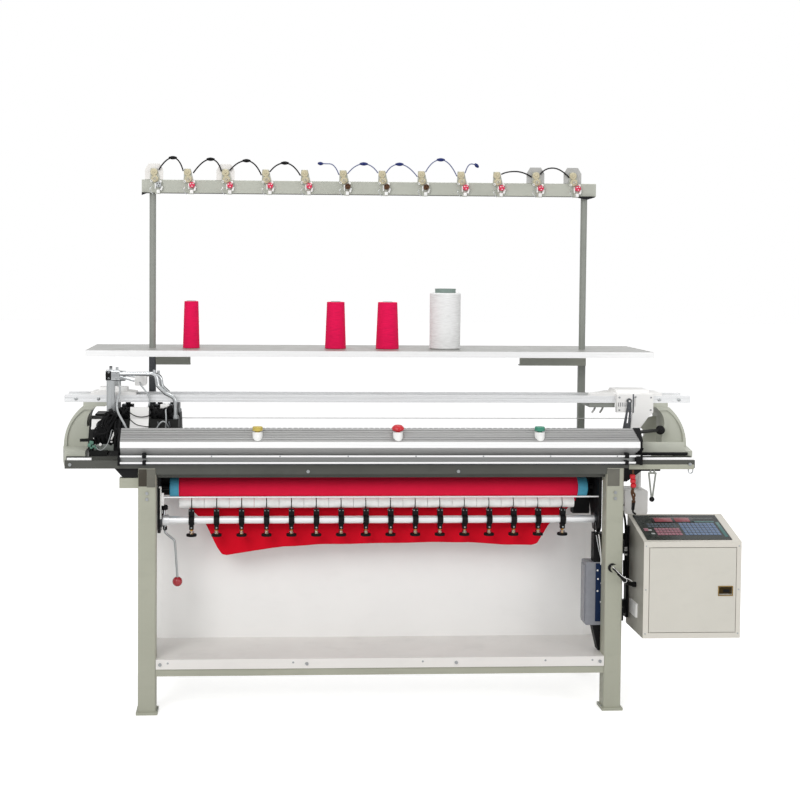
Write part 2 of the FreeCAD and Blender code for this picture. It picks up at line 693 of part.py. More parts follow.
def end_caps():
    """Black plates that close the ends of the cover and the tray."""
    low = LEG_H + 13
    lip = TRAY_TOP - TRAY_SHEET
    outline = cover_line()[2:5] + [(COVER_BACK_Y, lip), (0, lip), (0, low), (-TRAY_LIP, low),
                                   (-TRAY_LIP, TRAY_TOP), (4.0, TRAY_TOP)]
    half = COVER_L / 2
    right = along_x(outline, COVER_X + half, COVER_X + half + CAP_T)
    left = along_x(outline, COVER_X - half - CAP_T, COVER_X - half)
    return Part.makeCompound([left, right])


def button_collars():
    """White round collars that stand up through the cover; each button's stem runs in one."""
    made = []
    for x in (YELLOW_X, RED_X, GREEN_X):
        low = COLLAR_TOP - COLLAR_DEPTH
        collar = rod((x, BUTTON_Y, low), (x, BUTTON_Y, COLLAR_TOP), COLLAR_R)
        made.append(collar.cut(rod((x, BUTTON_Y, low), (x, BUTTON_Y, COLLAR_TOP), COLLAR_BORE)))
    return Part.makeCompound(made)


def button(x, radius, height, domed):
    """Push button: a cap over its travel above the collar, and a stem down the collar."""
    low = COLLAR_TOP + BUTTON_TRAVEL + BUTTON_GAP
    if domed:
        profile = [Vector(x, BUTTON_Y, low), Vector(x + radius * 0.8, BUTTON_Y, low),
                   Vector(x + radius, BUTTON_Y, low + height * 0.3)]
        crown = Vector(x + radius * 0.2, BUTTON_Y, low + height)
        arc = Part.Arc(profile[2], Vector(x + radius * 0.78, BUTTON_Y, low + height * 0.75), crown)
        closing = Part.makePolygon([crown, Vector(x, BUTTON_Y, low + height), profile[0]])
        wire = Part.Wire([Part.makePolygon(profile), arc.toShape(), closing])
        cap = Part.Face(wire).revolve(Vector(x, BUTTON_Y, 0), Vector(0, 0, 1), 360)
    else:
        cap = rod((x, BUTTON_Y, low), (x, BUTTON_Y, low + height), radius)
        cap = cap.makeChamfer(2.0, [e for e in cap.Edges if e.BoundBox.ZMin > low + height - 1])
    stem = rod((x, BUTTON_Y, low - STEM_L), (x, BUTTON_Y, low + 1), STEM_R)
    return joined([cap, stem])


# ---- rails and end brackets -------------------------------------------------------------------
def feeder_rail():
    """Front aluminium rail with a groove along its face and its top."""
    y0, y1 = FRONT_RAIL_Y, FRONT_RAIL_Y + RAIL_W
    mid_z = (RAIL_Z + RAIL_TOP) / 2
    outline = [(y0, RAIL_Z), (y1, RAIL_Z), (y1, RAIL_TOP), (y0, RAIL_TOP),
               (y0, mid_z + SLOT_W / 2), (y0 + SLOT_DEPTH, mid_z + SLOT_W / 2),
               (y0 + SLOT_DEPTH, mid_z - SLOT_W / 2), (y0, mid_z - SLOT_W / 2)]
    rail = along_x(outline, -RAIL_L / 2, RAIL_L / 2)
    groove = block(-RAIL_L / 2, RAIL_L / 2, y1 - SLOT_DEPTH, y1, mid_z - SLOT_W / 2, mid_z + SLOT_W / 2)
    return rail.cut(groove)


def end_bracket():
    """Right end casting: foot bar between the beams, arched limb with sunk faces, pad under the rails."""
    out, inner = BRACKET_OUT, BRACKET_OUT - BRACKET_W
    foot_top = LEG_H + BRACKET_FOOT_H
    pad_low = RAIL_Z - BRACKET_PAD_H
    pad_x1 = out - 67.0
    pad_x0 = pad_x1 - BRACKET_PAD_W
    y0, y1 = MID_Y - BRACKET_LIMB_D / 2, MID_Y + BRACKET_LIMB_D / 2

    def limb_face(y, rim):
        """Limb outline at one y, moved in by a rim."""
        a = Vector(out - rim, y, foot_top)
        b = Vector(out - rim - 1, y, BRACKET_SIDE_Z)
        c = Vector(out - 24 - rim * 0.95, y, BRACKET_SIDE_Z + 83)
        d = Vector(pad_x1 + 3 - rim * 0.6, y, pad_low - rim)
        e = Vector(pad_x0 + 36 + rim * 0.8, y, pad_low - rim)
        f = Vector(inner + 8 + rim, y, pad_low - 46)
        g = Vector(inner + rim, y, BRACKET_SIDE_Z + 40)
        h = Vector(inner + rim, y, foot_top)
        edges = [Part.LineSegment(a, b), Part.Arc(b, c, d), Part.LineSegment(d, e), Part.Arc(e, f, g),
                 Part.LineSegment(g, h), Part.LineSegment(h, a)]
        return Part.Face(Part.Wire([edge.toShape() for edge in edges]))

    limb = limb_face(y0, 0).extrude(Vector(0, y1 - y0, 0))
    front_sink = limb_face(y0, BRACKET_RIM).extrude(Vector(0, BRACKET_SINK, 0))
    back_sink = limb_face(y1, BRACKET_RIM).extrude(Vector(0, -BRACKET_SINK, 0))
    limb = limb.cut(front_sink).cut(back_sink)
    corner = BRACKET_FOOT_OUT
    foot = along_z([(inner, BEAM_D), (corner, BEAM_D), (out, y0 - 10), (out, y1 + 10),
                    (corner, FRAME_D - BEAM_D), (inner, FRAME_D - BEAM_D)], LEG_H, foot_top)
    pad = along_y([(pad_x0, RAIL_Z), (pad_x0, pad_low + 4), (pad_x0 + 8, pad_low), (pad_x1, pad_low),
                   (pad_x1, RAIL_Z)], FRONT_RAIL_Y, FRAME_D - FRONT_RAIL_Y)
    mid0, mid1 = MID_Y - WEB_PLATE_T / 2, MID_Y + WEB_PLATE_T / 2
    start = Vector(inner - WEB_PLATE_R, mid0, foot_top)
    top = Vector(inner, mid0, foot_top + WEB_PLATE_R)
    bulge = Vector(inner - WEB_PLATE_R * 0.707, mid0, foot_top + WEB_PLATE_R * 0.707)
    web_wire = Part.Wire([Part.Arc(start, bulge, top).toShape(),
                          Part.LineSegment(top, Vector(inner, mid0, foot_top)).toShape(),
                          Part.LineSegment(Vector(inner, mid0, foot_top), start).toShape()])
    web = Part.Face(web_wire).extrude(Vector(0, mid1 - mid0, 0))
    hole_x = inner - WEB_PLATE_R * 0.6
    hole_z = foot_top + WEB_PLATE_R * 0.38
    web = web.cut(rod((hole_x, mid0, hole_z), (hole_x, mid1, hole_z), WEB_HOLE_R))
    hub = rod((inner, y0 + BRACKET_SINK, foot_top + 56), (inner, y0 - 4, foot_top + 56), 14.0)
    hub = hub.common(block(inner, out, y0 - 5, y1, LEG_H, RAIL_Z))
    ped_y1 = BELT_Y - PULLEY_W / 2 - PULLEY_RIM - SIDE_FIT
    boss_z = BELT_Z + PIN_R * 2
    pedestal = along_y([(PULLEY_X - PEDESTAL_W / 2, foot_top), (PULLEY_X + PEDESTAL_W / 2, foot_top),
                        (PULLEY_X + PIN_R * 2, boss_z), (PULLEY_X - PIN_R * 2, boss_z)],
                       ped_y1 - PEDESTAL_T, ped_y1)
    pin_end = BELT_Y + PULLEY_W / 2 + PULLEY_RIM + 2
    pin = rod((PULLEY_X, ped_y1 - 1, BELT_Z), (PULLEY_X, pin_end, BELT_Z), PIN_R)
    return joined([foot, limb, pad, web, hub, pedestal, pin])


# ---- carriage ---------------------------------------------------------------------------------
def cam_section():
    """Outline of the front cam box, over the bed's face and clear of the needles."""
    lift = CAM_LIFT * math.sqrt(2)
    low_y = CAM_FRONT_Y + 60
    face_low = LEDGE_TOP + (low_y - BED_FOOT_Y) + lift
    face_high = LEDGE_TOP + (CAM_BACK_Y - BED_FOOT_Y) + lift
    return [(low_y, face_low), (CAM_BACK_Y, face_high), (CAM_BACK_Y, CAM_TOP - 12),
            (CAM_BACK_Y - 12, CAM_TOP), (ARM_Y - 14, CAM_TOP), (CAM_FRONT_Y, CAM_TOP - 62),
            (CAM_FRONT_Y, BEAM_TOP + GUIDE_H + SHOE_H + 4)]


def cam_box():
    """Front cam box: sloping housing with end chamfers, side slots, two running shoes."""
    body = along_x(cam_section(), CAR_LEFT, CAR_RIGHT)
    for x in (CAR_LEFT + 105, CAR_LEFT + 175):
        slot = block(x, x + 22, CAM_FRONT_Y - 1, CAM_FRONT_Y + 5, CAM_TOP - 92, CAM_TOP - 66)
        body = body.cut(slot)
    shoes = []
    top = BEAM_TOP + GUIDE_H + SIDE_FIT
    for x in (CAR_LEFT + 6, CAR_RIGHT - 6 - SHOE_L):
        shoes.append(block(x, x + SHOE_L, BEAM_D - GUIDE_W + 2, CAM_FRONT_Y + 12, top, top + SHOE_H))
        shoes.append(block(x, x + SHOE_L, CAM_FRONT_Y, CAM_FRONT_Y + 30, top, top + SHOE_H + 12))
    return joined([body] + shoes)


def stitch_motors():
    """Black stitch motors on the cam box, low enough to pass under the rails."""
    made = []
    back = FRONT_RAIL_Y + RAIL_W - 2
    for x0, x1 in ((CAR_LEFT + 92, CAR_LEFT + 132), (CAR_LEFT + 205, CAR_LEFT + 245),
                   (CAR_LEFT + 250, CAR_LEFT + 290)):
        made.append(block(x0, x1, back - 44, back, CAM_TOP, MOTOR_TOP - 12))
        x = (x0 + x1) / 2
        made.append(rod((x, back - 27, MOTOR_TOP - 12), (x, back - 27, MOTOR_TOP), 9.0))
    return made


def front_cam_box():
    """Front cam box with its motors, its upright plate and the pointed grip at its left."""
    y0 = CAM_FRONT_Y
    z = CAM_TOP - 62
    tip = CAR_LEFT - GRIP_L
    grip = along_z([(CAR_LEFT, y0), (CAR_LEFT, y0 + 22), (tip, y0 + 8), (tip, y0)], z - 9, z)
    top, low = cam_section()[4:6]
    part_way = (top[0] + 0.75 * (low[0] - top[0]), top[1] + 0.75 * (low[1] - top[1]))
    plate = along_x(folded([(top[0], CAM_TOP + 42), top, part_way], SHEET_T), CAR_LEFT + 137, CAR_LEFT + 200)
    return joined([cam_box(), grip, plate] + stitch_motors())


def rear_cam_box():
    """Rear cam box, the front one turned about, with the clamp that holds the drive belt."""
    body = mirror_y(joined([cam_box()] + stitch_motors()))
    top = BELT_Z - BELT_RUN - SIDE_FIT
    x = CAR_LEFT + CAR_L / 2
    clamp = block(x - 20, x + 20, FRAME_D - CAM_FRONT_Y - 4, BELT_Y + BELT_W / 2 + 2, top - 12, top)
    return joined([body, clamp])


def bridge_half(drop):
    """Flat upright arm, clamp block, bent tube and small knobs at one side of the rails."""
    y, z, top = ARM_Y + ARM_T / 2, BRIDGE_Z - drop, ARM_TOP - drop
    low = CAM_TOP + 4
    x = BRIDGE_RIGHT + 66
    arm = rounded(block(ARM_X, ARM_X + ARM_W, ARM_Y, ARM_Y + ARM_T, CAM_TOP, top), 3.0, Vector(0, 0, 1))
    hole_x, hole_z = ARM_X + ARM_W / 2, CAM_TOP + 20
    arm = arm.cut(rod((hole_x, ARM_Y, hole_z), (hole_x, ARM_Y + 4, hole_z), 5.0))
    bent = tube([(ARM_X - 4, y, z), (BRIDGE_RIGHT, y, z), (BRIDGE_RIGHT + 6, y, z - 42),
                 (BRIDGE_RIGHT + 34, y, z - 68), (x, y, z - 84), (x, y, low)], BRIDGE_R, tightest=24.0)
    half = KNUCKLE / 2
    knuckle = block(ARM_X - 2, ARM_X + 44, y - half, y + half, top, top + KNUCKLE + 10)
    knuckle = rounded(knuckle, 5.0, Vector(1, 0, 0))
    foot = rod((x, y, CAM_TOP), (x, y, low + 8), BRIDGE_R + 4)
    made = [arm, bent, knuckle, foot]
    for bud_x, bud_z in ((ARM_X + 14, top + KNUCKLE + 9), (BRIDGE_RIGHT - 6, z)):
        made.append(rod((bud_x, y, bud_z), (bud_x, y, bud_z + 14), BUD_R))
    return made


def cross_tube(x):
    """Tube from the front half of the bridge down to the rear half."""
    y = ARM_Y + ARM_T / 2
    return rod((x, y, BRIDGE_Z), (x, 2 * MID_Y - y, BRIDGE_Z - REAR_DROP), CROSS_R)


def carriage_bridge():
    """Arms, clamp blocks and bent tubes that join the cam boxes over the rails."""
    rear = [mirror_y(piece) for piece in bridge_half(REAR_DROP)]
    cross = [cross_tube(ARM_X + 16), cross_tube(CAR_BOX_X + CAR_BOX_W / 2)]
    return joined(bridge_half(0.0) + rear + cross + carriage_links())


def solenoid_box():
    """Cream box that hangs from the bridge's cross tube."""
    top = BRIDGE_Z - BRIDGE_R + 4
    y0 = MID_Y - CAR_BOX_D / 2 - 8
    body = block(CAR_BOX_X, CAR_BOX_X + CAR_BOX_W, y0, y0 + CAR_BOX_D, top - CAR_BOX_H, top)
    body = rounded(body, 4.0, Vector(0, 1, 0))
    return body.cut(cross_tube(CAR_BOX_X + CAR_BOX_W / 2))


def carriage_links():
    """Dark slanting links from the clamp block to the cream box."""
    y0 = MID_Y - CAR_BOX_D / 2 + 2
    made = []
    for k in (0, 1):
        start = (ARM_X + 16, y0 + 16 * k, BRIDGE_Z - 10 + 2 * k)
        end = (CAR_BOX_X - 1.4, y0 + 16 * k, BRIDGE_Z - 32 + 14 * k)
        made.append(rod(start, end, LINK_R))
    return made


def carriage_cables():
    """Cables that droop from the bridge to the stitch motors and the front cam box."""
    y = ARM_Y + ARM_T / 2
    made = [tube([(ARM_X + ARM_W + 11, y, ARM_TOP - 1.1), (ARM_X + ARM_W + 20, y, ARM_TOP - 32),
                  (ARM_X + ARM_W + 14, y, ARM_TOP - 70), (ARM_X + ARM_W + 22, y, CAM_TOP + 27),
                  (ARM_X + ARM_W + 48, y, CAM_TOP + 2.4)], LINK_R, "carriage cable"),
            tube([(CAR_BOX_X + 18, ARM_Y + 70.6, BRIDGE_Z - 35.4),
                   (CAR_BOX_X + 20, ARM_Y + 52, BRIDGE_Z - 41),
                  (CAR_BOX_X + 38, ARM_Y + 28, BRIDGE_Z - 57), (CAR_BOX_X + 58, ARM_Y + 19, BRIDGE_Z - 85),
                  (CAR_BOX_X + 50, ARM_Y + 19, CAM_TOP + 33), (CAR_BOX_X + 38, ARM_Y + 19, CAM_TOP + 1.4)],
                 3.0, "solenoid cable")]
    return Part.makeCompound(made)


# ---- drive ------------------------------------------------------------------------------------
def drive_belt():
    """Flat loop of belt round the two pulleys: two straight runs and a bend at each pulley."""
    y0, y1 = BELT_Y - BELT_W / 2, BELT_Y + BELT_W / 2
    inner = PULLEY_R + RUN_FIT * 2
    runs = [block(-PULLEY_X, PULLEY_X, y0, y1, BELT_Z - BELT_RUN, BELT_Z - inner),
            block(-PULLEY_X, PULLEY_X, y0, y1, BELT_Z + inner, BELT_Z + BELT_RUN)]
    ring = rod((PULLEY_X, y0, BELT_Z), (PULLEY_X, y1, BELT_Z), BELT_RUN)
    ring = ring.cut(rod((PULLEY_X, y0, BELT_Z), (PULLEY_X, y1, BELT_Z), inner))
    bend = ring.cut(block(0, PULLEY_X, y0, y1, BELT_Z - 2 * BELT_RUN, BELT_Z + 2 * BELT_RUN))
    return Part.makeCompound(runs + [bend, mirror_x(bend)])


def pulley():
    """Right belt pulley with a rim at each side, running on its pin."""
    half = PULLEY_W / 2
    ring = rod((PULLEY_X, BELT_Y - half, BELT_Z), (PULLEY_X, BELT_Y + half, BELT_Z), PULLEY_R)
    rims = []
    for y0, y1 in ((BELT_Y - half - PULLEY_RIM, BELT_Y - half), (BELT_Y + half, BELT_Y + half + PULLEY_RIM)):
        rims.append(rod((PULLEY_X, y0, BELT_Z), (PULLEY_X, y1, BELT_Z), PULLEY_R + 4))
    wheel = joined([ring] + rims)
    wheel = wheel.cut(rod((PULLEY_X, BELT_Y - 40, BELT_Z), (PULLEY_X, BELT_Y + 40, BELT_Z), PIN_R + RUN_FIT))
    for i in range(5):
        a = math.radians(72 * i + 18)
        x = PULLEY_X + 14 * math.cos(a)
        z = BELT_Z + 14 * math.sin(a)
        wheel = wheel.cut(rod((x, BELT_Y - 40, z), (x, BELT_Y + 40, z), 3.5))
    return wheel


# ---- yarn carriers ----------------------------------------------------------------------------
def left_stop():
    """Pale plate across both rails at the left end, raised in its middle, with two stop blocks."""
    y0, y1 = FRONT_RAIL_Y, 2 * MID_Y - FRONT_RAIL_Y
    plate = along_z([(STOP_X0, y0), (STOP_X1, y0), (STOP_X1, y1 - 40), (STOP_X1 - 30, y1), (STOP_X0 + 18, y1),
                     (STOP_X0, y1 - 22)], RAIL_TOP, RAIL_TOP + STOP_T)
    blocks = [block(STOP_X0 + 30, STOP_X0 + 60, y, y + RAIL_W, RAIL_TOP + STOP_T, RAIL_TOP + STOP_T + 6)
              for y in (y0, y1 - RAIL_W)]
    low, high = RAIL_TOP + STOP_T, RAIL_TOP + STOP_T + STOP_RISE
    hump = along_x([(y0 + 40, low), (y1 - 70, high), (y1 - 24, high), (y1 - 12, low)], STOP_X0 + 24,
                   STOP_X1 - 34)
    return joined([plate, hump] + blocks)


def carrier_station():
    """Right station on the rails: tapered top plate, front block with an upright slot, hanging plate."""
    y0, y1 = FRONT_RAIL_Y, 2 * MID_Y - FRONT_RAIL_Y
    top = along_z([(STATION_X0, y0), (STATION_X1 - 8, y0), (STATION_X1, y0 + 20), (STATION_X1, y1 - 10),
                   (STATION_X1 - 20, y1), (BLOCK_X0, y1), (STATION_X0, y0 + 30)],
                  RAIL_TOP, RAIL_TOP + STATION_T)
    low, high = RAIL_TOP + STATION_T, RAIL_TOP + STATION_T + HUMP_H
    hump = along_x([(y0 + 8, low), (y0 + 22, high), (y1 - 22, high), (y1 - 8, low)],
                   BLOCK_X0 + 6, BLOCK_X1 - 6)
    front = block(BLOCK_X0, BLOCK_X1, y0 - BLOCK_D, y0, BLOCK_BOTTOM, BLOCK_TOP)
    bridge = block(BLOCK_X0, BLOCK_X1, y0 - BLOCK_D, y0 + 4, RAIL_TOP, BLOCK_TOP)
    hanging = along_y([(HANG_X0, BLOCK_BOTTOM), (HANG_X0 - 6, HANG_BOTTOM + 8), (HANG_X0 + 2, HANG_BOTTOM),
                       (BLOCK_X1 - 44, HANG_BOTTOM + 10), (BLOCK_X1 - 18, HANG_BOTTOM + 46),
                       (BLOCK_X1, BLOCK_BOTTOM)], y0 - BLOCK_D, y0 - BLOCK_D + 8)
    x, z = LEVER_PIVOT_X, LEVER_PIVOT_Z
    front_y = y0 - BLOCK_D
    slot = block(x + 14, x + 24, front_y, front_y + 5, z - 20, z + 14)
    pin = rod((x, front_y + 2, z), (x, front_y - LEVER_T - 4, z), LEVER_PIN_R)
    return joined([top, hump, front, bridge, hanging]).cut(slot).fuse(pin).removeSplitter()


def carrier_lever():
    """Hinged lever on the station's front: a flat link with a boss and a forked foot."""
    y1 = FRONT_RAIL_Y - BLOCK_D - SIDE_FIT
    y0 = y1 - LEVER_T
    x, z = LEVER_PIVOT_X, LEVER_PIVOT_Z
    low = z - LEVER_L
    link = along_y([(x - 5, z + 4), (x + 6, z + 4), (x + LEVER_W / 2, z - 30), (x + 4, low),
                    (x - LEVER_W - 6, low), (x - LEVER_W, low + 34), (x - LEVER_W / 2, z - 24)], y0, y1)
    boss = rod((x, y0, z), (x, y1, z), 9.0)
    window = along_y([(x - 4, z - 34), (x + 1, z - 34), (x - 3, z - 78), (x - 9, z - 78)], y0, y1)
    stud = rod((x - 4, y0 + 1, z - 24), (x - 4, y0 - 6, z - 24), 4.0)
    fork = rod((x - LEVER_W + 2, y0 + 1, z - LEVER_L + 12), (x - LEVER_W + 2, y0 - 5, z - LEVER_L + 12), 4.5)
    lever = joined([link, boss]).cut(window)
    lever = lever.cut(rod((x, y0 - 1, z), (x, y1 + 1, z), LEVER_PIN_R + RUN_FIT))
    return joined([lever, stud, fork])


def yarn_feeders():
    """Sliding bar under the rails with two bent feeder tips."""
    y0, y1 = FRONT_RAIL_Y + 4, 2 * MID_Y - FRONT_RAIL_Y - 4
    top = RAIL_Z - SIDE_FIT
    bar = block(FEEDER_X0, FEEDER_X1, y0, y1, top - FEEDER_H, top)
    window = block(FEEDER_X0 + 14, FEEDER_X1 - 14, y0 + 14, MID_Y - 12, top - FEEDER_H, top)
    bar = bar.cut(window)
    tips = []
    for x in (FEEDER_X0 + 38, FEEDER_X0 + 66):
        low = top - FEEDER_H - FEEDER_TIP_DROP
        tips.append(tube([(x, MID_Y, top - FEEDER_H / 2), (x - 4, MID_Y, low + 14), (x - 14, MID_Y, low)],
                         FEEDER_TIP_R))
    x0, x1 = FEEDER_X0 + 4, FEEDER_X1 - 4
    inner = FRONT_RAIL_Y + RAIL_W + SIDE_FIT
    in_slot = inner - SLOT_DEPTH
    mid_z = (RAIL_Z + RAIL_TOP) / 2
    reach = SLOT_W / 2 - SIDE_FIT
    tongue = block(x0, x1, inner, FRAME_D - inner, top, mid_z + reach)
    lips = block(x0, x1, in_slot, FRAME_D - in_slot, mid_z - reach, mid_z + reach)
    return joined([bar, tongue, lips] + tips)


# ---- yarn stand -------------------------------------------------------------------------------
def post():
    """Right post: square below the yarn shelf, round above it."""
    half = POST_W / 2
    square = block(POST_X - half, POST_X + half, POST_Y - half, POST_Y + half, BEAM_TOP, YARN_SHELF_UNDER)
    round_part = rod((POST_X, POST_Y, YARN_SHELF_UNDER), (POST_X, POST_Y, TOP_BAR_Z), POST_R)
    return joined([rounded(square, 3.0, Vector(0, 0, 1)), round_part])


def yarn_shelf():
    """Folded steel shelf with lips all round, two carrier channels below and a hole for each post."""
    half = YARN_SHELF_L / 2
    y0, y1 = YARN_SHELF_Y, YARN_SHELF_Y + YARN_SHELF_D
    outer = block(-half, half, y0, y1, YARN_SHELF_UNDER, YARN_SHELF_TOP)
    inner = block(-half + YARN_SHEET, half - YARN_SHEET, y0 + YARN_SHEET, y1 - YARN_SHEET, YARN_SHELF_UNDER,
                  YARN_SHELF_TOP - YARN_SHEET)
    shelf = outer.cut(inner)
    width = CHANNEL_W / 2
    channel = block(POST_X - width, POST_X + width, y0 + YARN_SHEET, y1 - YARN_SHEET, YARN_SHELF_UNDER,
                    YARN_SHELF_TOP - YARN_SHEET)
    hollow = block(POST_X - width + SHEET_T, POST_X + width - SHEET_T, y0 + YARN_SHEET, y1 - YARN_SHEET,
                   YARN_SHELF_UNDER + SHEET_T, YARN_SHELF_TOP - YARN_SHEET)
    channel = channel.cut(hollow)
    shelf = joined([shelf, channel, mirror_x(channel)])
    for side in (-1, 1):
        x = side * POST_X
        hole = rod((x, POST_Y, YARN_SHELF_UNDER - 1), (x, POST_Y, YARN_SHELF_TOP + 1), POST_R + RUN_FIT)
        shelf = shelf.cut(hole)
    return shelf


def post_brackets():
    """Open channels under the yarn shelf that run inwards from the posts."""
    top, y0 = YARN_SHELF_UNDER, POST_Y - POST_W / 2 - 3
    made = []
    for side, reach in ((-1, UNDER_BAR_LEFT), (1, UNDER_BAR_RIGHT)):
        inner = POST_X - POST_W / 2
        x0, x1 = sorted((side * (inner - reach), side * (inner if side < 0 else inner + POST_W)))
        bar = block(x0, x1, y0, y0 + UNDER_BAR_D, top - UNDER_BAR_H, top)
        bar = bar.cut(block(x0, x1, y0 + SHEET_T, y0 + UNDER_BAR_D + 1, top - UNDER_BAR_H + SHEET_T,
                            top - SHEET_T))
        post_place = block(inner, inner + POST_W, POST_Y - POST_W / 2, POST_Y + POST_W, top - 60, top)
        made.append(bar.cut(post_place))
    return made


def top_bar():
    """Square tube across the posts, open at both ends."""
    half = TOP_BAR_L / 2
    y0, y1 = POST_Y - TOP_BAR_H / 2, POST_Y + TOP_BAR_H / 2
    outer = rounded(block(-half, half, y0, y1, TOP_BAR_Z, TOP_BAR_Z + TOP_BAR_H), 3.0, Vector(1, 0, 0))
    wall = 2.5
    return outer.cut(block(-half, half, y0 + wall, y1 - wall, TOP_BAR_Z + wall, TOP_BAR_Z + TOP_BAR_H - wall))


def unit_front():
    """Front face of the top bar, which carries the tension units."""
    return POST_Y - TOP_BAR_H / 2


def tension_bodies():
    """Twelve white tension brackets: a plate up the front of the bar with a hook over its top."""
    made = []
    top = TOP_BAR_Z + TOP_BAR_H
    y = unit_front()
    for i, x in enumerate(UNIT_PLACES):
        right = x + 4 + UNIT_PLATE_W
        low, high = TOP_BAR_Z - 4, top + UNIT_PLATE_RISE
        plate = along_y([(x + 4, low), (right, low), (right, top - 8), (x + 12, high), (x - 12, high),
                         (x - 14, top - 6), (x + 4, top - 16)], y - UNIT_PLATE_T, y)
        hook = block(x - 10, x + 16, y - UNIT_PLATE_T, y + 22, top, top + UNIT_PLATE_T)
        unit = [plate, hook]
        if i + 1 in SHIELDS:
            half, shoulder = SHIELD_W / 2, top + SHIELD_H - SHIELD_W / 3
            unit.append(along_y([(x - half, top), (x + half, top), (x + half, shoulder),
                                 (x + half * 0.6, top + SHIELD_H), (x - half * 0.6, top + SHIELD_H),
                                 (x - half, shoulder)], y, y + SHEET_T))
        made.append(joined(unit))
    return Part.makeCompound(made)


def tension_discs():
    """Two cream discs on each tension unit, one above the other."""
    made = []
    top = TOP_BAR_Z + TOP_BAR_H
    y = unit_front() - UNIT_PLATE_T
    for x in UNIT_PLACES:
        for k in (0, 1):
            z = top + UNIT_PLATE_RISE - DISC_R - DISC_STEP * k
            disc = rod((x + 3 * k, y, z), (x + 3 * k, y - DISC_T, z), DISC_R)
            made.append(disc.makeChamfer(2.0, [e for e in disc.Edges if e.BoundBox.YMax < y - DISC_T + 1]))
    return Part.makeCompound(made)


def tension_knobs():
    """Red setting knob at the lower right of each tension unit."""
    made = []
    y = unit_front() - UNIT_PLATE_T
    for x in UNIT_PLACES:
        z = TOP_BAR_Z + 29
        made.append(rod((x + 17, y, z), (x + 17, y - KNOB_L, z), KNOB_R))
    return Part.makeCompound(made)


def lead(start, top, end, name):
    """Lead that arches through a highest point, just in front of the units' plates."""
    y = unit_front() - UNIT_PLATE_T - LEAD_R - SIDE_FIT
    (x0, z0), (x1, z1), (x2, z2) = [(x, TOP_BAR_Z + rise) for x, rise in (start, top, end)]
    points = [(x0, z0), (x1 - 0.55 * (x1 - x0), z1), (x1 + 0.55 * (x2 - x1), z1), (x2, z2)]
    return tube([(x, y, z) for x, z in points], LEAD_R, name)


def jumper_leads():
    """Eleven leads that arch between the tension units."""
    return Part.makeCompound([lead(*route, "lead %d" % (i + 1)) for i, route in enumerate(LEADS)])


# ---- yarn -------------------------------------------------------------------------------------
def red_cones():
    """Three cones of wound yarn with a hollow through each."""
    made = []
    for x, radius in CONES:
        base = Vector(x, YARN_Y, YARN_SHELF_TOP)
        cone = Part.makeCone(radius, radius * CONE_TAPER, CONE_H, base)
        made.append(cone.cut(Part.makeCylinder(CONE_BORE_R, CONE_H, base)))
    return Part.makeCompound(made)


def white_bobbin():
    """Wound yarn on a straight plastic core that stands above it."""
    base = Vector(BOBBIN_X, YARN_Y, YARN_SHELF_TOP)
    yarn = Part.makeCylinder(BOBBIN_R, BOBBIN_H, base)
    yarn = yarn.makeFillet(8.0, [e for e in yarn.Edges if isinstance(e.Curve, Part.Circle)])
    yarn = yarn.cut(Part.makeCylinder(CORE_R, BOBBIN_H, base))
    core = Part.makeCylinder(CORE_R, BOBBIN_H + CORE_RISE, base)
    core = core.cut(Part.makeCylinder(CORE_R - CORE_WALL, BOBBIN_H + CORE_RISE, base))
    return Part.makeCompound([yarn, core])


# ---- take-down --------------------------------------------------------------------------------
def side_plates():
    """Bearing plates inside the leg frames, with the gear housings behind the ends of the roller."""
    top = LEDGE_TOP - FLANGE_T
    outline = [(SIDE_PLATE_Y0, SIDE_PLATE_BOTTOM + 18), (SIDE_PLATE_Y0 + 18, SIDE_PLATE_BOTTOM),
               (SHAFT_Y + 40, SIDE_PLATE_BOTTOM), (SIDE_PLATE_Y1, ROLLER_Z - 40), (SIDE_PLATE_Y1, top),
               (SIDE_PLATE_Y0, top)]
    plate = along_x(outline, PLATE_X, LEG_IN)
    plate = plate.cut(rod((PLATE_X, ROLLER_Y, ROLLER_Z), (LEG_IN, ROLLER_Y, ROLLER_Z), STUB_R + RUN_FIT))
    plate = plate.cut(rod((PLATE_X, SHAFT_Y, SHAFT_Z), (LEG_IN, SHAFT_Y, SHAFT_Z), SHAFT_R + RUN_FIT))
    housings = []
    for low in (GEAR_BOX_LEFT_Z, GEAR_BOX_RIGHT_Z):
        housing = block(PLATE_X - GEAR_BOX_W, PLATE_X, GEAR_BOX_Y0, GEAR_BOX_Y1, low, top)
        housings.append(rounded(housing, 6.0, Vector(1, 0, 0)))
    return Part.makeCompound([joined([mirror_x(plate), mirror_x(housings[0])]), joined([plate, housings[1]])])


def take_down_roller():
    """Main roller with a shaft end in each bearing plate."""
    ends = LEG_IN - 1
    drum = rod((ROLLER_X0, ROLLER_Y, ROLLER_Z), (ROLLER_X1, ROLLER_Y, ROLLER_Z), ROLLER_R)
    drum = drum.makeChamfer(2.0, [e for e in drum.Edges if isinstance(e.Curve, Part.Circle)])
    return joined([drum, rod((-ends, ROLLER_Y, ROLLER_Z), (ends, ROLLER_Y, ROLLER_Z), STUB_R)])


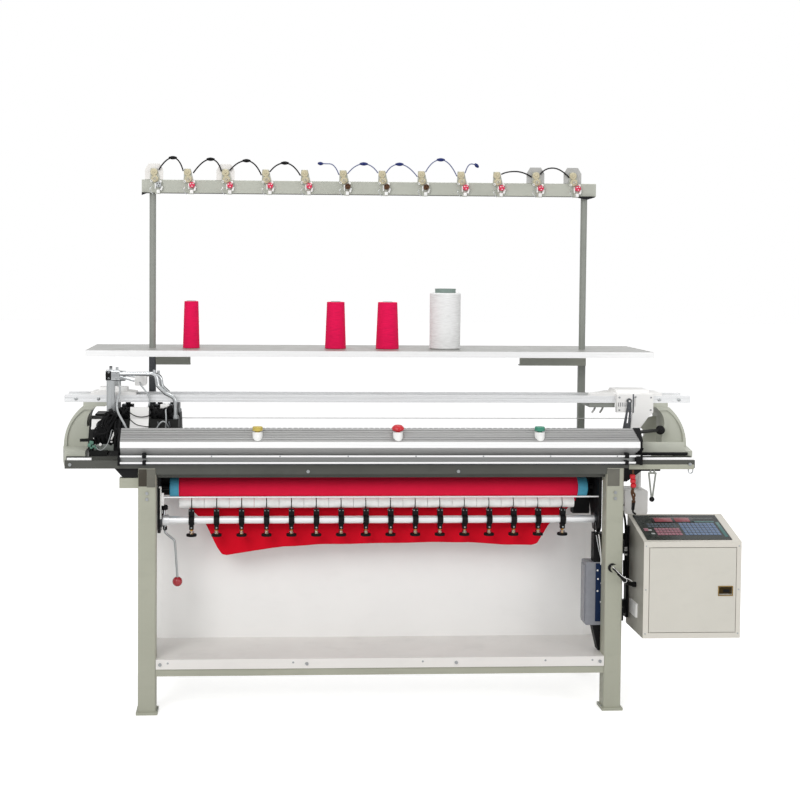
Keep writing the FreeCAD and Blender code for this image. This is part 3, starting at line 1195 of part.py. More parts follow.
def knitted_cloth():
    """Cloth from the gap over the front of the roller, through the nip, and hanging behind the shaft."""
    wrap = ROLLER_R + CLOTH_CLEAR + CLOTH_T / 2
    back = PRESS_R + CLOTH_CLEAR + CLOTH_T / 2
    dy, dz = MID_Y - ROLLER_Y, CLOTH_BEND_Z - ROLLER_Z
    start = math.atan2(dz, dy) + math.acos(wrap / math.hypot(dy, dz))

    def on_roller(angle):
        """Point of the cloth on the roller."""
        return Vector(-CLOTH_W / 2, ROLLER_Y + wrap * math.cos(angle), ROLLER_Z + wrap * math.sin(angle))

    def on_press(angle):
        """Point of the cloth on the pressure rollers."""
        return Vector(-CLOTH_W / 2, PRESS_Y + back * math.cos(angle), PRESS_Z + back * math.sin(angle))

    nip = NIP_ANGLE + 2 * math.pi
    bend = Vector(-CLOTH_W / 2, MID_Y, CLOTH_BEND_Z)
    towards = (on_roller(start) - bend).normalize()
    half_turn = Vector(0, 0, -1).getAngle(towards) / 2
    cut = 30.0
    radius = cut / math.tan(half_turn)
    arc_in = bend + Vector(0, 0, cut)
    arc_out = bend + towards * cut
    inward = (Vector(0, 0, 1) + towards).normalize()
    arc_mid = bend + inward * (radius / math.cos(half_turn) - radius)
    lead_in = NIP_ANGLE + math.pi
    path = Part.Wire([
        Part.LineSegment(Vector(-CLOTH_W / 2, MID_Y, CLOTH_TOP), arc_in).toShape(),
        Part.Arc(arc_in, arc_mid, arc_out).toShape(),
        Part.LineSegment(arc_out, on_roller(start)).toShape(),
        Part.Arc(on_roller(start), on_roller((start + nip) / 2), on_roller(nip)).toShape(),
        Part.Arc(on_press(lead_in), on_press(lead_in / 2), on_press(0)).toShape(),
        Part.LineSegment(on_press(0), Vector(-CLOTH_W / 2, PRESS_Y + back, CLOTH_BOTTOM)).toShape()])
    half = CLOTH_T / 2
    corners = [Vector(-CLOTH_W / 2, MID_Y - half, CLOTH_TOP), Vector(CLOTH_W / 2, MID_Y - half, CLOTH_TOP),
               Vector(CLOTH_W / 2, MID_Y + half, CLOTH_TOP), Vector(-CLOTH_W / 2, MID_Y + half, CLOTH_TOP)]
    cloth = path.makePipeShell([Part.makePolygon(corners + corners[:1])], True, False)
    side = CLOTH_W / 2
    low = CLOTH_BOTTOM - 5
    nip_z = ROLLER_Z - wrap - 12
    left = along_y([(-side - 5, nip_z), (-side, nip_z), (-side + 49, SHAFT_Z + 22),
                    (-side + 92, SHAFT_Z - 23), (-side + 129, CLOTH_BOTTOM + 33),
                    (-side + 147, CLOTH_BOTTOM + 6), (-side + 164, CLOTH_BOTTOM + 2), (-side + 164, low),
                    (-side - 5, low)], 0, FRAME_D)
    right = along_y([(side + 5, nip_z), (side, nip_z), (side - 37, SHAFT_Z + 22), (side - 94, SHAFT_Z - 26),
                     (side - 134, CLOTH_BOTTOM + 40), (side - 152, CLOTH_BOTTOM + 34),
                     (side - 252, CLOTH_BOTTOM + 36), (side - 378, CLOTH_BOTTOM + 46),
                     (side - 640, CLOTH_BOTTOM + 44), (side - 902, CLOTH_BOTTOM + 39),
                     (side - 1018, CLOTH_BOTTOM + 33), (side - 1122, CLOTH_BOTTOM + 19),
                     (side - 1191, CLOTH_BOTTOM + 7), (side - 1221, CLOTH_BOTTOM + 2), (side - 1221, low),
                     (side + 5, low)], 0, FRAME_D)
    return cloth.cut([left, right])


def clamp_places():
    """Places of the clamps along the shaft."""
    return [CLAMP_FIRST + i * CLAMP_PITCH for i in range(CLAMPS)]


def pressure_rollers():
    """Sixteen white spools: two barrels on one axle with a groove between them for the arm."""
    made = []
    groove = ARM_PLATE_T / 2 + SIDE_FIT
    for x in clamp_places():
        half = CLAMP_PITCH / 2 - 0.6
        spool = rod((x - half, PRESS_Y, PRESS_Z), (x + half, PRESS_Y, PRESS_Z), PRESS_R)
        gap = rod((x - groove, PRESS_Y, PRESS_Z), (x + groove, PRESS_Y, PRESS_Z), PRESS_R + 1)
        axle = rod((x - half, PRESS_Y, PRESS_Z), (x + half, PRESS_Y, PRESS_Z), AXLE_R)
        made.append(joined([spool.cut(gap), axle]))
    return Part.makeCompound(made)


def clamp_shaft():
    """Long bright shaft with a collar at its left end."""
    end = LEG_IN - 1
    shaft = rod((-end, SHAFT_Y, SHAFT_Z), (end, SHAFT_Y, SHAFT_Z), SHAFT_R)
    x0 = -PLATE_X + SIDE_FIT
    collar = rod((x0, SHAFT_Y, SHAFT_Z), (x0 + COLLAR_SHAFT_L, SHAFT_Y, SHAFT_Z), COLLAR_SHAFT_R)
    return joined([shaft, collar])


def shaft_clamps():
    """Black clamps on the shaft, each with two prongs and a thin arm to its pressure roller."""
    made = []
    lean = math.atan2(PRESS_Y - SHAFT_Y, PRESS_Z - SHAFT_Z)
    reach = math.hypot(PRESS_Y - SHAFT_Y, PRESS_Z - SHAFT_Z)
    bore = SHAFT_R
    for x in clamp_places():
        ring = rod((x - CLAMP_W / 2, SHAFT_Y, SHAFT_Z), (x + CLAMP_W / 2, SHAFT_Y, SHAFT_Z), CLAMP_R)
        half = CLAMP_W / 2 - 2
        neck = block(x - half, x + half, SHAFT_Y - 9, SHAFT_Y + 9, SHAFT_Z - 32, SHAFT_Z)
        prongs = [block(px, px + 5, SHAFT_Y - 8, SHAFT_Y + 8, SHAFT_Z, SHAFT_Z + 29)
                  for px in (x - CLAMP_W / 2, x + CLAMP_W / 2 - 5)]
        x0, x1, top = x - ARM_PLATE_T / 2, x + ARM_PLATE_T / 2, SHAFT_Z + reach
        arm = block(x0, x1, SHAFT_Y - 7, SHAFT_Y + 7, SHAFT_Z + 10, top)
        arm = arm.fuse(rod((x0, SHAFT_Y, top), (x1, SHAFT_Y, top), AXLE_R * 2))
        arm = arm.cut(rod((x0, SHAFT_Y, top), (x1, SHAFT_Y, top), AXLE_R + RUN_FIT))
        arm.rotate(Vector(x, SHAFT_Y, SHAFT_Z), Vector(1, 0, 0), -math.degrees(lean))
        clamp = joined([ring, neck, arm] + prongs)
        made.append(clamp.cut(rod((x - 20, SHAFT_Y, SHAFT_Z), (x + 20, SHAFT_Y, SHAFT_Z), bore)))
    return Part.makeCompound(made + clamp_knobs())


def clamp_knobs():
    """Setting screw under each clamp: brass nut on top of a black disc."""
    made = []
    neck_low = SHAFT_Z - 32
    for x in clamp_places():
        disc = rod((x, SHAFT_Y, KNOB_DISC_Z - KNOB_DISC_T), (x, SHAFT_Y, KNOB_DISC_Z), KNOB_DISC_R)
        cone = Part.makeCone(NUT_R, SCREW_R, 9.0, Vector(x, SHAFT_Y, KNOB_DISC_Z))
        stem = rod((x, SHAFT_Y, KNOB_DISC_Z), (x, SHAFT_Y, neck_low), SCREW_R)
        made.append(joined([disc, cone, stem]))
    return made


def release_handle():
    """Bent rod from the shaft's collar with a round ball on its end."""
    x = -PLATE_X + SIDE_FIT + COLLAR_SHAFT_L / 2
    start_z = SHAFT_Z - COLLAR_SHAFT_R + 2
    route = [(x, SHAFT_Y, start_z), (x, SHAFT_Y, start_z - 26), (x + 34, SHAFT_Y, start_z - 54),
             (x + 43, SHAFT_Y, start_z - 180)]
    handle = tube(route, HANDLE_R, tightest=16.0)
    root = rod((x, SHAFT_Y, start_z + 0.5), (x, SHAFT_Y, start_z - 14), 7.0)
    cutter = rod((x - 40, SHAFT_Y, SHAFT_Z), (x + 40, SHAFT_Y, SHAFT_Z), COLLAR_SHAFT_R)
    return Part.makeCompound([joined([handle, root]).cut(cutter), handle_ball()])


def handle_ball():
    """Ball on the release handle."""
    x = -PLATE_X + SIDE_FIT + COLLAR_SHAFT_L / 2 + 43
    end_z = SHAFT_Z - COLLAR_SHAFT_R + 2 - 180
    centre = Vector(x, SHAFT_Y, end_z - BALL_R + 2)
    ball = Part.makeSphere(BALL_R, centre)
    return ball.cut(Part.makeCylinder(BALL_R, BALL_R, Vector(x, SHAFT_Y, end_z)))


def guide_rod():
    """Thin rod in front of the roller, between the bearing plates."""
    return rod((-PLATE_X, GUIDE_ROD_Y, GUIDE_ROD_Z), (PLATE_X, GUIDE_ROD_Y, GUIDE_ROD_Z), GUIDE_ROD_R)


# ---- control box and right side ---------------------------------------------------------------
def box_outline(inset):
    """Side outline of the control box, moved in by a wall."""
    y0, y1 = BOX_Y + inset, BOX_Y + BOX_D - inset
    slope = (BOX_BACK_H - BOX_FRONT_H) / BOX_D
    drop = inset * math.sqrt(1 + slope * slope)
    front = BOX_Z + BOX_FRONT_H + slope * inset - drop
    back = BOX_Z + BOX_BACK_H - slope * inset - drop
    return [(y0, BOX_Z + inset), (y1, BOX_Z + inset), (y1, back), (y0, front)]


def control_box():
    """Sheet housing with a sloping top, a thick front frame round the door and a board inside."""
    x0, x1 = BOX_X, BOX_X + BOX_W
    shell = along_x(box_outline(0), x0, x1).cut(along_x(box_outline(BOX_WALL), x0 + BOX_WALL, x1 - BOX_WALL))
    frame = block(x0 + BOX_WALL, x1 - BOX_WALL, BOX_Y, BOX_Y + BOX_FRONT_T, BOX_Z + BOX_WALL,
                  BOX_Z + BOX_FRONT_H - BOX_WALL)
    board = block(x0 + 50, x1 - 50, BOX_Y + BOX_D - BOX_WALL - 6, BOX_Y + BOX_D - BOX_WALL, BOX_Z + 40,
                  BOX_Z + BOX_FRONT_H - 60)
    board_y = BOX_Y + BOX_D - BOX_WALL - 6
    parts = []
    for k in range(3):
        x = x0 + 70 + 70 * k
        parts.append(block(x, x + 45, board_y - 34, board_y, BOX_Z + 70, BOX_Z + 150 + 30 * (k % 2)))
    case = joined([shell, frame, board] + parts)
    case = case.cut(block(DOOR_X0, DOOR_X1, BOX_Y - 1, BOX_Y + BOX_FRONT_T + 1, DOOR_Z0, DOOR_Z1))
    low, high = DOOR_Z0 - HINGE_L, DOOR_Z1 + HINGE_L
    case = case.cut(rod((HINGE_X, HINGE_Y, low), (HINGE_X, HINGE_Y, high), HINGE_R + RUN_FIT))
    return Part.makeCompound([case] + box_fittings())


def box_door():
    """Door with folded edges, a sunk place for the latch and hinge pins at its left."""
    x0, x1 = DOOR_X0 + DOOR_GAP, DOOR_X1 - DOOR_GAP
    z0, z1 = DOOR_Z0 + DOOR_GAP, DOOR_Z1 - DOOR_GAP
    slab = block(x0, x1, BOX_Y, BOX_Y + DOOR_T, z0, z1)
    slab = slab.cut(block(x0 + 12, x1 - 12, BOX_Y + DOOR_SKIN, BOX_Y + DOOR_T, z0 + 12, z1 - 12))
    boss_x0, boss_x1 = LATCH_X - 4, LATCH_X + LATCH_W + 4
    boss = block(boss_x0, boss_x1, BOX_Y, BOX_Y + DOOR_T, LATCH_Z - 4, LATCH_Z + LATCH_H + 4)
    rim = block(LATCH_X - LATCH_RIM, LATCH_X + LATCH_W + LATCH_RIM, BOX_Y - 1, BOX_Y, LATCH_Z - LATCH_RIM,
                LATCH_Z + LATCH_H + LATCH_RIM)
    pocket = block(LATCH_X, LATCH_X + LATCH_W, BOX_Y - 2, BOX_Y + LATCH_DEPTH, LATCH_Z, LATCH_Z + LATCH_H)
    pins = [rod((HINGE_X, HINGE_Y, z1 - 1), (HINGE_X, HINGE_Y, DOOR_Z1 + HINGE_L - 1), HINGE_R),
            rod((HINGE_X, HINGE_Y, DOOR_Z0 - HINGE_L + 1), (HINGE_X, HINGE_Y, z0 + 1), HINGE_R)]
    door = joined([slab, boss, rim] + pins).cut(pocket)
    _, y, z = latch_hinge()
    return door.cut(rod((LATCH_X - 3, y, z), (LATCH_X + LATCH_W + 3, y, z), LATCH_PIN_R + RUN_FIT))


def latch_hinge():
    """Axis of the latch paddle: along x, near the top of its pocket."""
    return (LATCH_X + LATCH_W / 2, BOX_Y + 2.2, LATCH_Z + LATCH_H - 3.2)


def door_latch():
    """Paddle that lies in the door's pocket and swings out from its top edge."""
    _, y, z = latch_hinge()
    x0, x1 = LATCH_X + 1, LATCH_X + LATCH_W - 1
    paddle = block(x0, x1, BOX_Y + 0.6, BOX_Y + 3.8, LATCH_Z + 4, z)
    barrel = rod((x0, y, z), (x1, y, z), 1.6)
    pin = rod((LATCH_X - 2, y, z), (LATCH_X + LATCH_W + 2, y, z), LATCH_PIN_R)
    return joined([paddle, barrel, pin])


def key_panel():
    """Dark sheet of sealed keys on the sloping top."""
    slope = math.atan2(BOX_BACK_H - BOX_FRONT_H, BOX_D)
    length = BOX_D / math.cos(slope)
    x0, x1 = BOX_X + KEYS_MARGIN, BOX_X + BOX_W - KEYS_RIGHT
    sheet = block(x0, x1, KEYS_MARGIN, length - KEYS_MARGIN, 0, KEYS_T)
    sheet.Placement = FreeCAD.Placement(Vector(0, BOX_Y, BOX_Z + BOX_FRONT_H),
                                        FreeCAD.Rotation(Vector(1, 0, 0), math.degrees(slope)))
    return sheet


def motor_housing():
    """Cream motor housing on a hanger plate from the right leg frame's upper rail."""
    body = block(MOTOR_X0, MOTOR_X1, MOTOR_Y0, MOTOR_Y1, MOTOR_Z0, MOTOR_Z1)
    body = rounded(body, 8.0, Vector(0, 1, 0))
    vents = []
    for k in range(6):
        z = MOTOR_Z0 + 16 + 9 * k
        vents.append(block(MOTOR_X1 - 2, MOTOR_X1 + 1, MOTOR_Y0 + 18, MOTOR_Y1 - 18, z, z + 4))
    body = body.cut(vents)
    hanger_top = LEG_H - SIDE_RAIL_H / 2 + HANGER_T
    x1, y0, y1 = MOTOR_X1 - 20, MOTOR_Y0 + 20, MOTOR_Y1 - 20
    arm = block(LEG_IN + SIDE_RAIL_W, x1, y0, y1, hanger_top - HANGER_T, hanger_top)
    drop = block(x1 - HANGER_T, x1, y0, y1, MOTOR_Z1, hanger_top)
    return joined([body, arm, drop])


def hanging_lever():
    """Wire lever bent to a V with a knob, hanging by an eye from the right gusset's pin."""
    y = V_Y - 16
    eye_z = V_PIN_Z - 3.6
    eye = Part.makeTorus(V_EYE_R, V_R, Vector(V_X, y, eye_z), Vector(0, 1, 0))
    bar_z = eye_z - V_EYE_R
    low = V_PIN_Z - V_DROP
    half = V_SPREAD / 2
    bar = rod((V_X - half, y, bar_z), (V_X + half, y, bar_z), V_R)
    arms = [rod((V_X + side * half, y, bar_z), (V_X + side * 1.5, y, low), V_R) for side in (-1, 1)]
    ends = [Part.makeSphere(V_R, Vector(V_X + side * half, y, bar_z)) for side in (-1, 1)]
    knob = Part.makeSphere(V_KNOB_R, Vector(V_X, y, low - 4))
    lever = joined([eye, bar, knob] + arms + ends)
    return lever.cut(rod((V_X, y - 9, V_PIN_Z), (V_X, y + 9, V_PIN_Z), V_R + RUN_FIT))


def junction_box():
    """Plastic box behind the right front leg with a lid step."""
    y0 = LEG_W
    body = block(LEG_IN - JUNCTION_W, LEG_IN + 25, y0, y0 + JUNCTION_D, JUNCTION_Z0, JUNCTION_Z1)
    body = rounded(body, 5.0, Vector(0, 1, 0))
    x0 = LEG_IN - JUNCTION_W
    step = block(x0 - 3, x0, y0 + 6, y0 + JUNCTION_D - 6, JUNCTION_Z0 + 12, JUNCTION_Z1 - 12)
    above = block(LEG_IN - 25, LEG_IN + 18, y0, y0 + 40, JUNCTION_Z1, JUNCTION_Z1 + 99)
    wedge = along_y([(LEG_IN - 27, JUNCTION_Z0), (LEG_IN + 12, JUNCTION_Z0), (LEG_IN + 8, SHELF_TOP + 4),
                     (LEG_IN - 6, SHELF_TOP + 4)], y0, y0 + 40)
    return joined([body, step, above, wedge])


def box_fittings():
    """Socket and cable entry on the control box's left side."""
    socket = block(BOX_X - 6, BOX_X, BOX_Y + 66, BOX_Y + 144, BOX_Z + 54, BOX_Z + 102)
    start, end = (BOX_X, ENTRY_Y, ENTRY_Z), (BOX_X - 12, ENTRY_Y, ENTRY_Z)
    entry = rod(start, end, ENTRY_R).cut(rod(start, end, CABLE_R + RUN_FIT))
    return [socket, entry]


def box_cables():
    """Cables held between the leg's gland, the motor and the control box."""
    mid = (LEG_IN + LEG_OUT) / 2
    short = tube([(mid, 0, GLAND_Z), (mid, -34, GLAND_Z), (mid + 22, -46, GLAND_Z - 24),
                  (BOX_X - 30, ENTRY_Y, ENTRY_Z), (BOX_X, ENTRY_Y, ENTRY_Z)], CABLE_R, "leg cable")
    x = BOX_X - 14.5
    trunk = tube([(MOTOR_X0 - 2.6, MOTOR_Y0 + 14, MOTOR_Z0 + 30), (x + 2, MOTOR_Y0, MOTOR_Z0 + 32),
                  (x, 150.0, MOTOR_Z0 + 22), (x - 2, 106.0, MOTOR_Z0 - 10), (x - 3, 100.0, MOTOR_Z0 - 110),
                  (x - 2, 103.0, MOTOR_Z0 - 190), (x, 100.0, MOTOR_Z0 - 216),
                  (BOX_X - 2.2, 98.0, MOTOR_Z0 - 224)],
                 CABLE_R, "motor cable")
    return Part.makeCompound([short, trunk])


# ---- assembly ---------------------------------------------------------------------------------
pieces = {
    "left_leg_frame": joined([mirror_x(leg_frame()), side_stub()]),
    "right_leg_frame": Part.makeCompound([leg_frame(), cable_gland()]),
    "frame_bolts": frame_bolts(),
    "front_base_beam": base_beam(),
    "rear_base_beam": mirror_y(base_beam()),
    "lower_shelf": Part.makeCompound([lower_shelf(), shelf_bar()]),
    "back_panel": back_panel(),
    "left_end_bracket": mirror_x(end_bracket()),
    "right_end_bracket": end_bracket(),
    "support_brackets": support_brackets(),
    "front_needle_bed": needle_bed(),
    "rear_needle_bed": mirror_y(needle_bed()),
    "front_needles": needles(),
    "rear_needles": mirror_y(needles()),
    "guide_tray": guide_tray(),
    "front_cover": front_cover(),
    "cover_end_caps": end_caps(),
    "button_collars": button_collars(),
    "yellow_button": button(YELLOW_X, CAP_R, CAP_H, False),
    "red_button": button(RED_X, MUSHROOM_R, MUSHROOM_H, True),
    "green_button": button(GREEN_X, CAP_R, CAP_H, False),
    "front_feeder_rail": moved(feeder_rail(), RAIL_X),
    "rear_feeder_rail": moved(mirror_y(feeder_rail()), RAIL_X),
    "front_cam_box": front_cam_box(),
    "rear_cam_box": rear_cam_box(),
    "carriage_bridge": carriage_bridge(),
    "solenoid_box": solenoid_box(),
    "carriage_cables": carriage_cables(),
    "drive_belt": drive_belt(),
    "drive_pulley": pulley(),
    "idler_pulley": mirror_x(pulley()),
    "left_stop_plate": left_stop(),
    "carrier_station": carrier_station(),
    "carrier_lever": carrier_lever(),
    "yarn_feeders": yarn_feeders(),
    "stand_posts": moved(Part.makeCompound([mirror_x(post()), post()]), STAND_X),
    "yarn_shelf": moved(Part.makeCompound([yarn_shelf()] + post_brackets()), STAND_X),
    "top_bar": moved(top_bar(), STAND_X),
    "tension_bodies": moved(tension_bodies(), STAND_X),
    "tension_discs": moved(tension_discs(), STAND_X),
    "tension_knobs": moved(tension_knobs(), STAND_X),
    "jumper_leads": moved(jumper_leads(), STAND_X),
    "red_cones": moved(red_cones(), STAND_X),
    "white_bobbin": moved(white_bobbin(), STAND_X),
    "side_plates": side_plates(),
    "take_down_roller": take_down_roller(),
    "knitted_cloth": knitted_cloth(),
    "pressure_rollers": pressure_rollers(),
    "clamp_shaft": clamp_shaft(),
    "shaft_clamps": shaft_clamps(),
    "release_handle": release_handle(),
    "guide_rod": guide_rod(),
    "control_box": control_box(),
    "box_door": box_door(),
    "door_latch": door_latch(),
    "key_panel": key_panel(),
    "motor_housing": motor_housing(),
    "hanging_lever": hanging_lever(),
    "junction_box": junction_box(),
    "box_cables": box_cables(),
}

# the origin goes to the middle of the footprint, on the floor
whole = Part.makeCompound(list(pieces.values())).BoundBox
SHIFT = Vector(-(whole.XMin + whole.XMax) / 2, -(whole.YMin + whole.YMax) / 2, -whole.ZMin)
for node, shape in pieces.items():
    placed = shape.copy()
    placed.translate(SHIFT)
    placed.exportStep("parts/%s.step" % node)
    row = (node, len(placed.Solids), placed.isValid(), placed.Volume)
    print("%-20s solids %3d  valid %s  volume %.0f" % row)
print("box", round(whole.XLength, 1), round(whole.YLength, 1), round(whole.ZLength, 1), "shift", SHIFT)
print("nodes", len(pieces))
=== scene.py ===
"""Looks of a flat knitting machine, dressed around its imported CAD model.

Sizes in the classes are millimetres on the machine: x runs along the beds from the middle of the stand,
y runs back from the front of the legs and z runs up from the floor. `spot` turns them into the row frame.
"""
import logging
import math
import random
from dataclasses import dataclass
from enum import Enum
from typing import Callable, Iterable, Optional, Sequence, Union

import bmesh
import bpy
from mathutils import Matrix, Vector


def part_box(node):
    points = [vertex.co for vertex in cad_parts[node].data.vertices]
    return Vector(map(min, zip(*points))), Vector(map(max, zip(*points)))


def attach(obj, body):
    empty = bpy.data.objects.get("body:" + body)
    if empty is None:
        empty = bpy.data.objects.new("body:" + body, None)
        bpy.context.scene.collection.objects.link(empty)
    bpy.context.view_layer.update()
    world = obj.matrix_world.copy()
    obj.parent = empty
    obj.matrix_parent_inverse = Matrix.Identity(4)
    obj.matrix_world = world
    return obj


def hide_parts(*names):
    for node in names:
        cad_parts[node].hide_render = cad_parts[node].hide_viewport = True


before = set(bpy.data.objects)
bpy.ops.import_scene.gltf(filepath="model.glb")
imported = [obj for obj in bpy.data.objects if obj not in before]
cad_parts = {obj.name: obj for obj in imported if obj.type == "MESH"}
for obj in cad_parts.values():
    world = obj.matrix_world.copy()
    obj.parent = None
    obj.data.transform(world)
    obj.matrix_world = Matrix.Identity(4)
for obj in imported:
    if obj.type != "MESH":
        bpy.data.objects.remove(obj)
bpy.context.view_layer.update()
LOG = logging.getLogger("flat_knitting_machine")
BEAM_LOW, BEAM_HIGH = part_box("front_base_beam")
ORIGIN = Vector(((BEAM_LOW[0] + BEAM_HIGH[0]) / 2, BEAM_LOW[1], 0.0))
Place = tuple[float, float, float]
Pair = tuple[float, float]
Socket = bpy.types.NodeSocket


def spot(x: float, y: float, z: float) -> Vector:
    """Point of the row frame, in metres, for a place on the machine in millimetres."""
    return ORIGIN + Vector((x, y, z)) / 1000


def shade(code: str) -> tuple[float, float, float, float]:
    """Turn a written colour into the linear values that shaders take.

    Args:
        code: Six hexadecimal digits.

    Returns:
        Red, green, blue and full opacity.
    """
    parts = [int(code[i:i + 2], 16) / 255 for i in (0, 2, 4)]
    linear = [c / 12.92 if c <= 0.04045 else ((c + 0.055) / 1.055) ** 2.4 for c in parts]
    return linear[0], linear[1], linear[2], 1.0


class Axis(Enum):
    """Direction along which a piece or a finish runs."""

    X = Vector((1, 0, 0))
    Y = Vector((0, 1, 0))
    Z = Vector((0, 0, 1))


class Body(Enum):
    """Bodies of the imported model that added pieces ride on."""

    STAND = "stand"
    CARRIAGE = "carriage"
    CLAMPS = "clamps"
    DOOR = "door"
    LATCH = "latch"


# ---- finishes -----------------------------------------------------------------------------------
class Graph:
    """Node tree of one material, with short ways to add nodes and join them."""

    def __init__(self, name: str) -> None:
        """Start a material with a principled shader.

        Args:
            name: Name of the finish.
        """
        self.material = bpy.data.materials.new(name + "_finish")
        self.material.use_nodes = True
        self.nodes = self.material.node_tree.nodes
        self.links = self.material.node_tree.links
        self.shader = self.nodes["Principled BSDF"]

    def add(self, kind: str, **inputs: object) -> bpy.types.Node:
        """Add a node and fill its inputs.

        Args:
            kind: Node class without its prefix.
            inputs: Values or output sockets by input name, with _ for a space.

        Returns:
            The new node.
        """
        node = self.nodes.new("ShaderNode" + kind)
        for key, value in inputs.items():
            self.feed(node, key.replace("_", " "), value)
        return node

    def feed(self, node: bpy.types.Node, key: Union[str, int], value: object) -> None:
        """Set one input of a node to a value or to another node's output."""
        socket = node.inputs[key]
        if isinstance(value, Socket):
            self.links.new(value, socket)
        else:
            socket.default_value = value

    def place(self, stretch: Place) -> Socket:
        """Object coordinates stretched along each axis."""
        coords = self.add("TexCoord").outputs["Object"]
        return self.add("Mapping", Vector=coords, Scale=stretch).outputs["Vector"]

    def noise(self, stretch: Place, detail: float = 3.0) -> Socket:
        """Value of a noise field over the object."""
        return self.add("TexNoise", Vector=self.place(stretch), Scale=1.0, Detail=detail).outputs[0]

    def spread(self, value: Socket, low: float, high: float, start: float = 0.3, end: float = 0.7) -> Socket:
        """Map a value from one range to another.

        Args:
            value: The value.
            low: What the range's start becomes.
            high: What its end becomes.
            start: Start of the range.
            end: End of the range.

        Returns:
            The mapped value.
        """
        return self.add("MapRange", Value=value, From_Min=start, From_Max=end, To_Min=low, To_Max=high).outputs[0]

    def mix(self, factor: object, a: object, b: object) -> Socket:
        """Mix two colours.

        Args:
            factor: Share of the second colour.
            a: First colour, a value or a socket.
            b: Second colour.

        Returns:
            The mixed colour.
        """
        node = self.nodes.new("ShaderNodeMix")
        node.data_type = "RGBA"
        for key, value in ((0, factor), (6, a), (7, b)):
            self.feed(node, key, value)
        return node.outputs[2]

    def sums(self, operation: str, *values: object) -> Socket:
        """Join numbers with one arithmetic operation.

        Args:
            operation: Name of the operation.
            values: Numbers or sockets.

        Returns:
            The result.
        """
        node = self.nodes.new("ShaderNodeMath")
        node.operation = operation
        for key, value in enumerate(values):
            self.feed(node, key, value)
        return node.outputs[0]

    def relief(self, height: Socket, strength: float, distance: float) -> None:
        """Give the surface fine relief."""
        bump = self.add("Bump", Height=height, Strength=strength, Distance=distance)
        self.links.new(bump.outputs[0], self.shader.inputs["Normal"])

    def finish(self, **inputs: object) -> bpy.types.Material:
        """Set the shader's inputs and hand the material over."""
        for key, value in inputs.items():
            self.feed(self.shader, key.replace("_", " "), value)
        return self.material


def tinted(colour: Sequence[float], amount: float) -> tuple[float, float, float, float]:
    """The same colour made lighter or darker."""
    return tuple(min(1.0, c * amount) for c in colour[:3]) + (1.0,)


@dataclass(frozen=True)
class Finish:
    """A finish in one colour, the base of all the others."""

    name: str
    colour: str
    rough: float = 0.45

    def material(self) -> bpy.types.Material:
        """Material of this finish, made once."""
        return bpy.data.materials.get(self.name + "_finish") or self.build()

    def build(self) -> bpy.types.Material:
        """Make the material."""
        raise NotImplementedError


@dataclass(frozen=True)
class Paint(Finish):
    """Sprayed paint on steel: faint mottling, orange peel and rubbed patches."""

    mottle: float = 0.05
    peel: float = 0.12
    grime: float = 0.0
    gloss: float = 0.5

    def build(self) -> bpy.types.Material:
        """Make the paint.

        Returns:
            The new material.
        """
        g = Graph(self.name)
        base = shade(self.colour)
        cloud = g.spread(g.noise((5, 5, 5), 5.0), 0.0, 1.0)
        tone = g.mix(cloud, tinted(base, 1 - self.mottle), tinted(base, 1 + self.mottle))
        if self.grime:
            patch = g.spread(g.noise((14, 14, 30), 7.0), 0.0, self.grime, 0.55, 0.75)
            tone = g.mix(patch, tone, tinted(base, 0.45))
        g.relief(g.noise((520, 520, 520), 2.0), self.peel, 0.0006)
        rough = g.spread(g.noise((22, 22, 22), 4.0), self.rough - 0.06, self.rough + 0.08)
        g.shader.inputs["Specular IOR Level"].default_value = self.gloss
        return g.finish(Base_Color=tone, Roughness=rough, Coat_Weight=0.24 * self.gloss, Coat_Roughness=0.35)


@dataclass(frozen=True)
class Metal(Finish):
    """Bare metal with the marks of its last cut or brush running one way."""

    along: Axis = Axis.X
    brush: float = 0.25
    spread: float = 0.12
    bare: float = 1.0

    def build(self) -> bpy.types.Material:
        """Make the metal.

        Returns:
            The new material.
        """
        g = Graph(self.name)
        base = shade(self.colour)
        run = self.along.value
        stretch = tuple(3.0 if part else 900.0 for part in run)
        wide = tuple(0.8 if part else 60.0 for part in run)
        lines = g.noise(stretch, 2.0)
        bands = g.noise(wide, 3.0)
        tone = g.mix(g.spread(bands, 0.0, 1.0), tinted(base, 1 - self.spread), tinted(base, 1 + self.spread))
        g.relief(lines, self.brush, 0.0003)
        rough = g.spread(lines, self.rough - 0.06, self.rough + 0.10)
        return g.finish(Base_Color=tone, Roughness=rough, Metallic=self.bare)


@dataclass(frozen=True)
class Plastic(Finish):
    """Moulded plastic or rubber with a fine grain."""

    grain: float = 0.10
    gloss: float = 0.5
    see_through: float = 0.0

    def build(self) -> bpy.types.Material:
        """Make the plastic.

        Returns:
            The new material.
        """
        g = Graph(self.name)
        base = shade(self.colour)
        tone = g.mix(g.spread(g.noise((45, 45, 45), 4.0), 0.0, 1.0), tinted(base, 0.93), tinted(base, 1.06))
        g.relief(g.noise((1400, 1400, 1400), 2.0), self.grain, 0.0003)
        rough = g.spread(g.noise((60, 60, 60), 3.0), self.rough - 0.04, self.rough + 0.08)
        g.finish(Base_Color=tone, Roughness=rough)
        g.shader.inputs["Specular IOR Level"].default_value = self.gloss
        g.shader.inputs["Transmission Weight"].default_value = self.see_through
        return g.material


